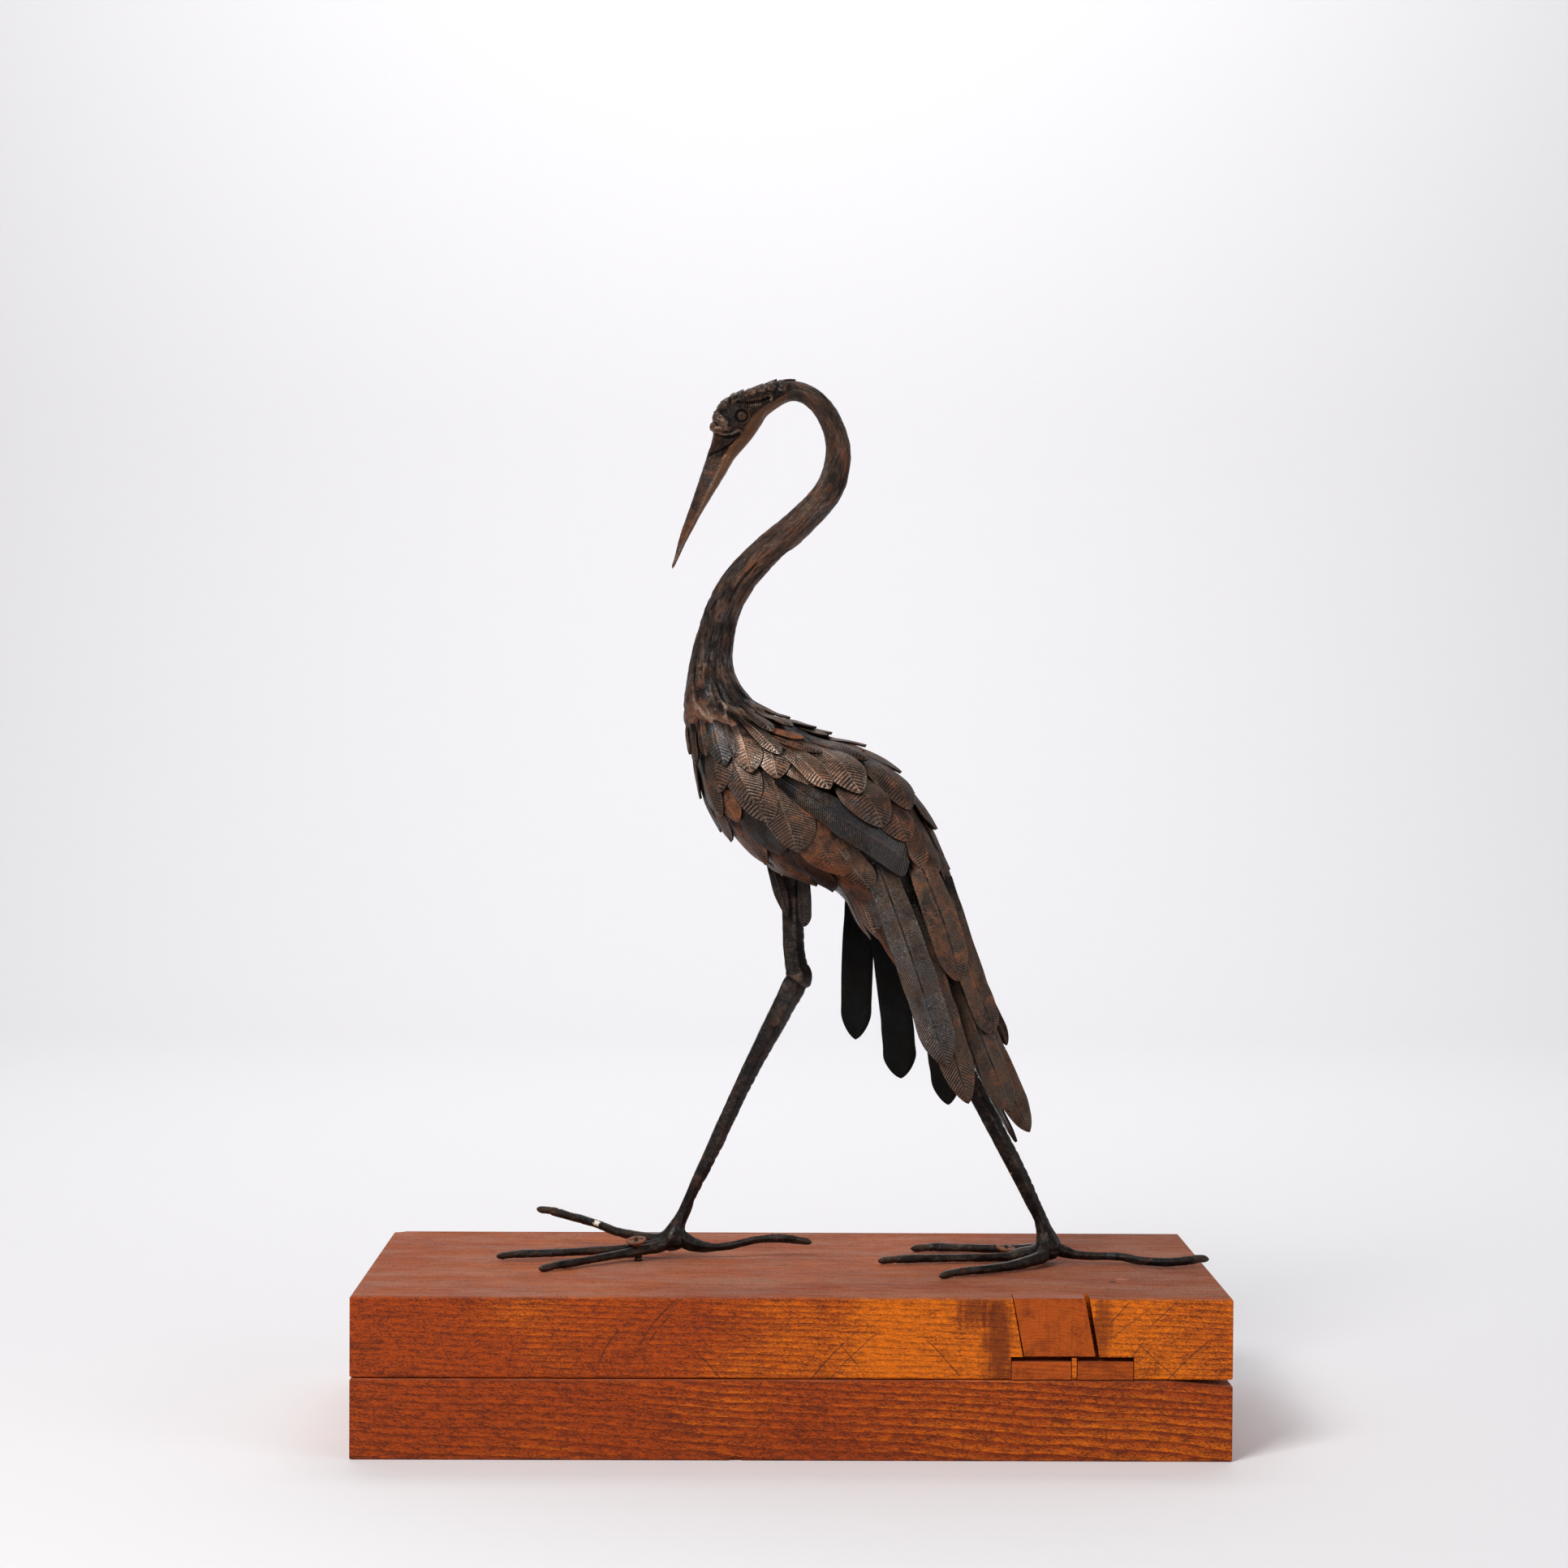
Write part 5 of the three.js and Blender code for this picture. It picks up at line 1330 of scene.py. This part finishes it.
def board_material(name, shift, grain, lights, dusty, stains=(), cracks=(), marks=()):
    """A board's wood: long grain on its faces, rings on its ends, dust and dulled varnish on top.
    Stains, cracks and saw marks are in front only."""
    palette = bpy.context.scene.crane_colours
    dark, dust = tuple(palette.wood_dark), tuple(palette.dust)
    material, t, place = start_material(name)
    face_x, face_y, face_z = t.facing()
    up = t.step(face_z, 0.55, 0.85) * dusty
    end = t.step(t.math("ABSOLUTE", face_x), 0.55, 0.85)
    in_front = t.step(face_y, 0.3, 0.0)
    x, y, z = t.split(place)
    lightness = lights[0][1]
    for (low, before), (high, after) in zip(lights, lights[1:]):
        lightness = lightness + t.step(x, low, high, 0.0, after - before)

    front = wood(t, t.vector("ADD", t.join(x, z, y), shift), {**grain, "Lightness": lightness})
    top = wood(t, t.vector("ADD", place, shift), {
        "Line spacing": 0.007, "Waviness": 0.003, "Line strength": 0.2, "Mottle": 0.7,
    })
    aside, above = y - 0.03, z + 0.07
    rings = wood(t, t.join(aside, t.length(aside, above), shift[0]), {
        "Line spacing": 0.0036, "Waviness": 0.0015, "Line strength": 0.5, "Mottle": 0.5,
    })

    rag = t.noise(place, 130, 4, 0.65)
    upright = t.noise(place, (420, 420, 40), 3, 0.6, 0.6)
    layers = [(end, rings["Color"])]
    for centre_x, centre_z, wide, tall, power in stains:
        spread = t.length((x - centre_x) / wide, (z - centre_z) / tall)
        spread = spread + (rag - 0.5) * 1.3 + (upright - 0.5) * 1.2
        layers.append((t.step(spread, 1.35, 0.45, 0.0, power) * in_front, linear(84, 26, 8)))
    cuts = saw_marks(t, x, z, rag, marks)
    for centre_x, centre_z, lean, long, wide in cracks:
        rise = z - centre_z
        bent = x - centre_x + rise * lean + (rag - 0.5) * 0.0022
        reach = t.step(t.math("ABSOLUTE", rise), long, long * 0.7)
        cut = t.step(t.math("ABSOLUTE", bent), wide, wide * 0.3) * reach
        cuts = t.math("MAXIMUM", cut, cuts)
    cuts = cuts * in_front
    # Darker towards the bottom edge, broken by noise.
    darker_at_bottom = t.step(z, 0.006, 0.0) * t.step(rag, 0.35, 0.6)
    layers += [(cuts * 0.62, (0.03, 0.009, 0.003, 1)), (darker_at_bottom * 0.4, dark)]

    streak = t.noise(place, (30, 240, 240), 5, 0.75)
    powder = t.noise(place, (16, 44, 44), 6, 0.75)
    grit = t.noise(place, (1000, 330, 1000), 2, 0.6) + (powder - 0.5) * 0.3
    soil = t.noise(place, (700, 260, 700), 3, 0.6)
    hole = spot(t, place, NAIL_HOLE, 2.0)
    scratch = t.math("SUBTRACT", spot(t, place, SCRATCH, 3.4, 1.4), hole, clamp=True)
    dull = t.layers(top["Color"], (
        (0.5, tuple(palette.dusty_top)),
        (t.step(streak, 0.48, 0.66, 0.0, 0.4), dark),
        (t.step(powder, 0.36, 0.7, 0.0, 0.36), dust),
        # Darker towards the right end of the top.
        (t.step(x, 0.04, 0.2, 0.0, 0.3), linear(78, 44, 32)),
        (t.step(grit, 0.61, 0.68, 0.0, 0.5), dust),
        (t.step(soil, 0.6, 0.7, 0.0, 0.6), (0.02, 0.012, 0.01, 1)),
        (hole, (0.008, 0.006, 0.006, 1)),
        (scratch, linear(170, 108, 80)),
    ))
    gloss = 0.30 + front["Lines"] * 0.12 + t.noise(place, 240, 3, 0.6) * 0.16
    height = front["Height"] + t.noise(place, 500, 3, 0.6) * 0.5 - cuts * 1.5
    return finish_material(material, t, {
        "Base Color": t.layers(front["Color"], layers + [(up, dull)]),
        "Roughness": t.math("ADD", gloss, up * 0.36, clamp=True),
        "Specular IOR Level": 0.17, "Normal": t.bump(0.55, height),
    })


def patch_material(name, shift, rings):
    """Lighter wood of the repair. With rings, its growth lines are circles about a point below, as
    on the end of a board; without, they run along it."""
    palette = bpy.context.scene.crane_colours
    dark = tuple(palette.wood_dark)
    material, t, place = start_material(name)
    x, y, z = t.split(place)
    if rings:
        aside, above = x - rings[0] * MM, z - rings[1] * MM
        coordinates = t.join(aside, t.length(aside, above), y)
        spacing, power, lightness, ray_share = 0.0013, 0.2, 0.4, 0.35
    else:
        coordinates = t.vector("ADD", t.join(x, z, y), shift)
        spacing, power, lightness, ray_share = 0.0024, 0.3, 0.6, 0.0
    group = wood(t, coordinates, {
        "Line spacing": spacing, "Waviness": 0.001, "Slope": 0.04, "Mottle": 0.35,
        "Line strength": power, "Lightness": lightness,
    }, "patch_light")
    stain = t.noise(place, 90, 4, 0.6)
    rays = t.noise(place, (1500, 1500, 50), 3, 0.6)
    up = t.step(t.facing()[2], 0.5, 0.9)
    return finish_material(material, t, {
        "Base Color": t.layers(group["Color"], (
            (t.step(stain, 0.5, 0.75, 0.0, 0.6), dark),
            (t.step(rays, 0.52, 0.7, 0.0, ray_share), dark),
            (up * 0.7, tuple(palette.dusty_top)),
        )),
        "Roughness": 0.34 + stain * 0.3, "Specular IOR Level": 0.14,
        "Normal": t.bump(0.6, group["Height"]),
    })


def wear_material(node, material):
    """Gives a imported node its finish."""
    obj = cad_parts[node]
    obj.data.materials.clear()
    obj.data.materials.append(material)


# ---- Floor, light and camera ----

def floor_and_backdrop(stage):
    """A floor that turns up into a wall: straight, a quarter circle, then straight again."""
    turn = np.linspace(0, np.pi / 2, 16)
    near, wall, radius, top, side = -4.0, 2.2, 0.9, 5.0, 5.0
    y = np.concatenate([[near], wall + radius * np.sin(turn), [wall + radius]])
    z = np.concatenate([[0.0], radius - radius * np.cos(turn), [top]])
    x = np.linspace(-side, side, 9)
    points = [(across, *place) for across in x.tolist() for place in zip(y.tolist(), z.tolist())]
    i, j = np.meshgrid(np.arange(len(x) - 1), np.arange(len(y) - 1), indexing="ij")
    first = (i * len(y) + j).ravel()
    faces = np.stack([first, first + len(y), first + len(y) + 1, first + 1], -1)
    mesh = bpy.data.meshes.new("floor")
    mesh.from_pydata(points, [], faces.tolist())
    mesh.polygons.foreach_set("use_smooth", np.ones(len(faces), bool))
    material, t, place = start_material("floor_paper")
    fibre = t.step(t.noise(place, 40, 2, 0.5), 0.3, 0.7, 0.0, 0.02)
    mesh.materials.append(finish_material(material, t, {
        "Base Color": t.layers(tuple(stage.floor), [(fibre, (0.7, 0.7, 0.7, 1))]),
        "Roughness": 0.9,
    }))
    obj = bpy.data.objects.new("floor", mesh)
    bpy.context.scene.collection.objects.link(obj)


def soft_light(name, place, target, size, power, colour):
    """A square lamp of the given side that faces a target point."""
    lamp = bpy.data.lights.new(name, "AREA")
    lamp.size = size
    lamp.energy = power
    lamp.color = colour
    obj = bpy.data.objects.new(name, lamp)
    obj.location = place
    obj.rotation_euler = (Vector(target) - Vector(place)).to_track_quat("-Z", "Y").to_euler()
    bpy.context.scene.collection.objects.link(obj)


def soft_lights(stage):
    """A large key from the upper left front, a weaker fill from the right, and a white sky."""
    for name, place, target, size, power, colour in (
        ("key_light", (-1.0, -1.5, 1.75), (0, 0, 0.25), 0.85, stage.key_power, (1.0, 0.98, 0.95)),
        ("fill_light", (1.8, -1.2, 0.9), (0, 0, 0.3), 1.2, stage.fill_power, (0.97, 0.98, 1.0)),
        ("wall_light", (0, 1.4, 2.5), (0, 3.0, 0.5), 2.2, stage.wall_power, (1.0, 1.0, 1.0)),
    ):
        soft_light(name, place, target, size, power, colour)
    world = bpy.data.worlds.new("studio_sky")
    world.use_nodes = True
    background = world.node_tree.nodes["Background"]
    background.inputs["Color"].default_value = (1.0, 1.0, 1.0, 1.0)
    background.inputs["Strength"].default_value = stage.sky
    bpy.context.scene.world = world


def place_camera(stage):
    """The camera stands in front at the height of the bird's body, turned a little to the right
    and down."""
    yaw, pitch, roll = (math.radians(a) for a in CAMERA_TURN)
    ahead = Vector((
        math.sin(yaw) * math.cos(pitch), math.cos(yaw) * math.cos(pitch), math.sin(pitch),
    ))
    right = Vector((math.cos(yaw), -math.sin(yaw), 0.0))
    up = right.cross(ahead)
    turned_right = right * math.cos(roll) + up * math.sin(roll)
    turned_up = up * math.cos(roll) - right * math.sin(roll)
    camera = bpy.data.cameras.new("camera")
    camera.lens = stage.lens
    camera.sensor_width = 36.0
    camera.clip_end = 50.0
    obj = bpy.data.objects.new("camera", camera)
    columns = (turned_right, turned_up, -ahead)
    turn = Matrix([[c[k] for c in columns] for k in range(3)]).to_4x4()
    obj.matrix_world = Matrix.Translation(CAMERA_PLACE) @ turn
    bpy.context.scene.collection.objects.link(obj)
    bpy.context.scene.camera = obj


# ---- Settings ----

def millimetres(label, text, value):
    """A length setting whose default is given in millimetres."""
    return bpy.props.FloatProperty(
        name=label, description=text, default=value * MM, min=0.0, precision=5, unit="LENGTH",
        subtype="DISTANCE",
    )


def colour_of(label, text, red, green, blue):
    """A colour setting whose default is given as it looks on a screen."""
    return bpy.props.FloatVectorProperty(
        name=label, description=text, default=linear(red, green, blue), size=4, min=0.0, max=1.0,
        subtype="COLOR",
    )


def power_of(label, text, value):
    """A lamp's power setting in watts."""
    return bpy.props.FloatProperty(
        name=label, description=text, default=value, min=0.0, unit="POWER",
    )


class CraneSizes(bpy.types.PropertyGroup):
    """Sizes of the feathers that cover the crane."""

    barb_pitch: millimetres("Barb pitch", "Distance from one barb of a feather to the next", 1.4)
    barb_depth: millimetres("Barb depth", "Height of a barb's crest above its furrow", 0.3)
    plate_thickness: millimetres("Plate thickness", "Thickness of a feather's sheet", 0.8)
    coat_lift: millimetres("Coat lift", "Height of a small feather's tip above the skin", 3.6)
    coat_sink: millimetres("Coat sink", "Depth of a small feather's root below the skin", 1.0)


class CraneColours(bpy.types.PropertyGroup):
    """Colours of the metal and the wood."""

    metal: colour_of("Metal", "Brown of the patinated metal", 84, 61, 48)
    shade: colour_of("Shade", "Dark of the patinated metal", 34, 29, 28)
    rust: colour_of("Rust", "Orange of the rust blooms", 130, 70, 32)
    steel: colour_of("Steel", "Blue grey of the steel-coloured patches", 64, 69, 74)
    bright: colour_of("Bright", "Metal rubbed bright on crests", 160, 133, 114)
    wood_light: colour_of("Light wood", "Bright wood between the growth lines", 232, 116, 8)
    wood_middle: colour_of("Middle wood", "The boards' common colour", 178, 70, 5)
    wood_dark: colour_of("Dark wood", "Growth lines and mottling", 80, 27, 6)
    patch_light: colour_of("Patch wood", "Lighter wood of the repair", 182, 82, 22)
    dusty_top: colour_of("Dusty top", "Dulled varnish on top of the base", 146, 84, 62)
    dust: colour_of("Dust", "Pale dust on top of the base", 176, 140, 122)


class CraneStage(bpy.types.PropertyGroup):
    """Floor, light and camera."""

    floor: colour_of("Floor", "Pale floor and backdrop", 236, 235, 238)
    key_power: power_of("Key light", "Power of the large front light", 42.0)
    fill_power: power_of("Fill light", "Power of the side light", 9.0)
    wall_power: power_of("Wall light", "Power of the light on the backdrop", 44.0)
    sky: bpy.props.FloatProperty(
        name="Sky", description="Strength of the light from all around", default=0.27, min=0.0,
    )
    lens: bpy.props.FloatProperty(
        name="Lens", description="Focal length of the camera in millimetres", default=71.15,
        min=1.0,
    )


# ---- Operators ----

class CRANE_OT_boards(bpy.types.Operator):
    """Finish the two boards and the repair in their front"""

    bl_idname = "crane.boards"
    bl_label = "Boards and repair"

    def execute(self, context):
        for node, values in BOARDS.items():
            wear_material(node, board_material(node + "_wood", **values))
        wear_material("wedge_patch", patch_material("wedge_wood", (0.1, 0.2, 0.3), (142, 8)))
        for node, shift in (("left_patch_block", 0.5), ("right_patch_block", 0.9)):
            wear_material(node, patch_material(node + "_wood", (shift, 0.1, 0.2), None))
        return {"FINISHED"}


class CRANE_OT_screws(bpy.types.Operator):
    """Make the two cross-head screws beside the feet"""

    bl_idname = "crane.screws"
    bl_label = "Screws"

    def execute(self, context):
        material = metal_material("screw_metal", (1.2, 0.0, 0.5, 0.9), 0.6)
        for name, place in SCREWS.items():
            piece(name + "_threaded", [screw_shell(**place)], material, (name,))
        return {"FINISHED"}


class CRANE_OT_legs(bpy.types.Operator):
    """Forge the two legs with their feet"""

    bl_idname = "crane.legs"
    bl_label = "Legs and feet"

    def execute(self, context):
        dark = {
            "metal": linear(58, 49, 45), "shade": linear(25, 23, 23), "rust": linear(104, 62, 38),
            "bright": linear(132, 114, 100),
        }
        shares = (0.36, 0.15, 0.4, 0.35)
        material = metal_material("leg_metal", shares, 1.0, dark, foot_colour)
        for order, (name, leg) in enumerate(LEGS.items()):
            shells = leg_shells(leg, 200 + 40 * order)
            piece(name + "_forged", shells, material, (name,))
        return {"FINISHED"}


class CRANE_OT_skin(bpy.types.Operator):
    """Shape the beak, head, neck and body as one carved skin"""

    bl_idname = "crane.skin"
    bl_label = "Body, neck and head"

    def execute(self, context):
        material = metal_material(
            "body_metal", (0.42, 0.16, 0.5, 0.55), 0.8, {"shade": linear(42, 35, 32)},
            throat_colour, neck_strokes, neck_soot, along_neck,
        )
        for name, zones in SKINS.items():
            piece(name, [bird_skin(zones)], material, BODY_NODES)
        return {"FINISHED"}


class CRANE_OT_head(bpy.types.Operator):
    """Set the eyes and the crest's leaf-shaped plates on the head"""

    bl_idname = "crane.head"
    bl_label = "Eyes and crest"

    def execute(self, context):
        material = metal_material("crest_metal", (0.45, 0.05, 0.5, 0.6), 0.7)
        shells = []
        for side in (-1, 1):
            shells += eye_shells(side) + [crest_leaf(*leaf, side) for leaf in CREST_LEAVES]
        piece("eyes_and_crest", shells, material, BODY_NODES)
        return {"FINISHED"}


class CRANE_OT_coat(bpy.types.Operator):
    """Lay the small feathers over the body, each side and the ridge of the back"""

    bl_idname = "crane.coat"
    bl_label = "Coat of small feathers"

    def execute(self, context):
        material = metal_material("coat_metal", FEATHER_SHARES, 0.55)
        for name, sides, rows in (
            ("coat_feathers_left", (1,), COAT), ("coat_feathers_right", (-1,), COAT),
            ("coat_feathers_back", (1, -1), RIDGE),
        ):
            shells = [
                coat_feather(*row, side, 400 + 2 * k + side)
                for side in sides for k, row in enumerate(rows)
            ]
            piece(name, shells, material, BODY_NODES)
        return {"FINISHED"}


class CRANE_OT_long(bpy.types.Operator):
    """Hang the long feathers of the wings and the tail"""

    bl_idname = "crane.long_feathers"
    bl_label = "Wings and tail"

    def execute(self, context):
        colours = {"metal": linear(86, 68, 56), "shade": linear(42, 37, 35)}
        material = metal_material("wing_metal", FEATHER_SHARES, 0.5, colours)
        for k, (name, values) in enumerate(LONG_FEATHERS.items()):
            shape = {}
            if name.endswith("wing_bar"):
                skew = 0.75 * math.cos(math.radians(values[4]))
                shape = {"slant": 0.45, "quill_half": 0.8, "skew": skew}
            feather = long_feather(*values, 600 + k, **shape)
            piece(name + "_vane", [feather], material, (name,))
        return {"FINISHED"}


class CRANE_OT_stage(bpy.types.Operator):
    """Set the pale floor, the soft lights and the camera"""

    bl_idname = "crane.stage"
    bl_label = "Floor, light and camera"

    def execute(self, context):
        stage = context.scene.crane_stage
        floor_and_backdrop(stage)
        soft_lights(stage)
        place_camera(stage)
        return {"FINISHED"}


class CRANE_PT_panel(bpy.types.Panel):
    """Lists the crane's settings and pieces in the sidebar"""

    bl_idname = "CRANE_PT_panel"
    bl_label = "Crane"
    bl_space_type = "VIEW_3D"
    bl_region_type = "UI"
    bl_category = "Crane"

    def draw(self, context):
        for name in SETTINGS:
            holder = getattr(context.scene, name)
            box = self.layout.box()
            for key in holder.bl_rna.properties.keys():
                if key not in ("rna_type", "name"):
                    box.prop(holder, key)
        for operator in OPERATORS:
            self.layout.operator(operator.bl_idname)


SETTINGS = {"crane_sizes": CraneSizes, "crane_colours": CraneColours, "crane_stage": CraneStage}
OPERATORS = (
    CRANE_OT_boards, CRANE_OT_screws, CRANE_OT_legs, CRANE_OT_skin, CRANE_OT_head, CRANE_OT_coat,
    CRANE_OT_long, CRANE_OT_stage,
)


def register():
    """Adds the settings, the operators and the panel."""
    for name, settings in SETTINGS.items():
        bpy.utils.register_class(settings)
        setattr(bpy.types.Scene, name, bpy.props.PointerProperty(type=settings))
    for part in OPERATORS + (CRANE_PT_panel,):
        bpy.utils.register_class(part)


def unregister():
    """Takes away what register added."""
    for part in reversed(OPERATORS + (CRANE_PT_panel,)):
        bpy.utils.unregister_class(part)
    for name, settings in SETTINGS.items():
        delattr(bpy.types.Scene, name)
        bpy.utils.unregister_class(settings)


def main():
    """Registers the add-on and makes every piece."""
    register()
    for operator in OPERATORS:
        group, name = operator.bl_idname.split(".")
        getattr(getattr(bpy.ops, group), name)()
    bpy.context.scene.view_settings.view_transform = "Standard"
    bpy.context.view_layer.update()


if __name__ == "__main__":
    main()
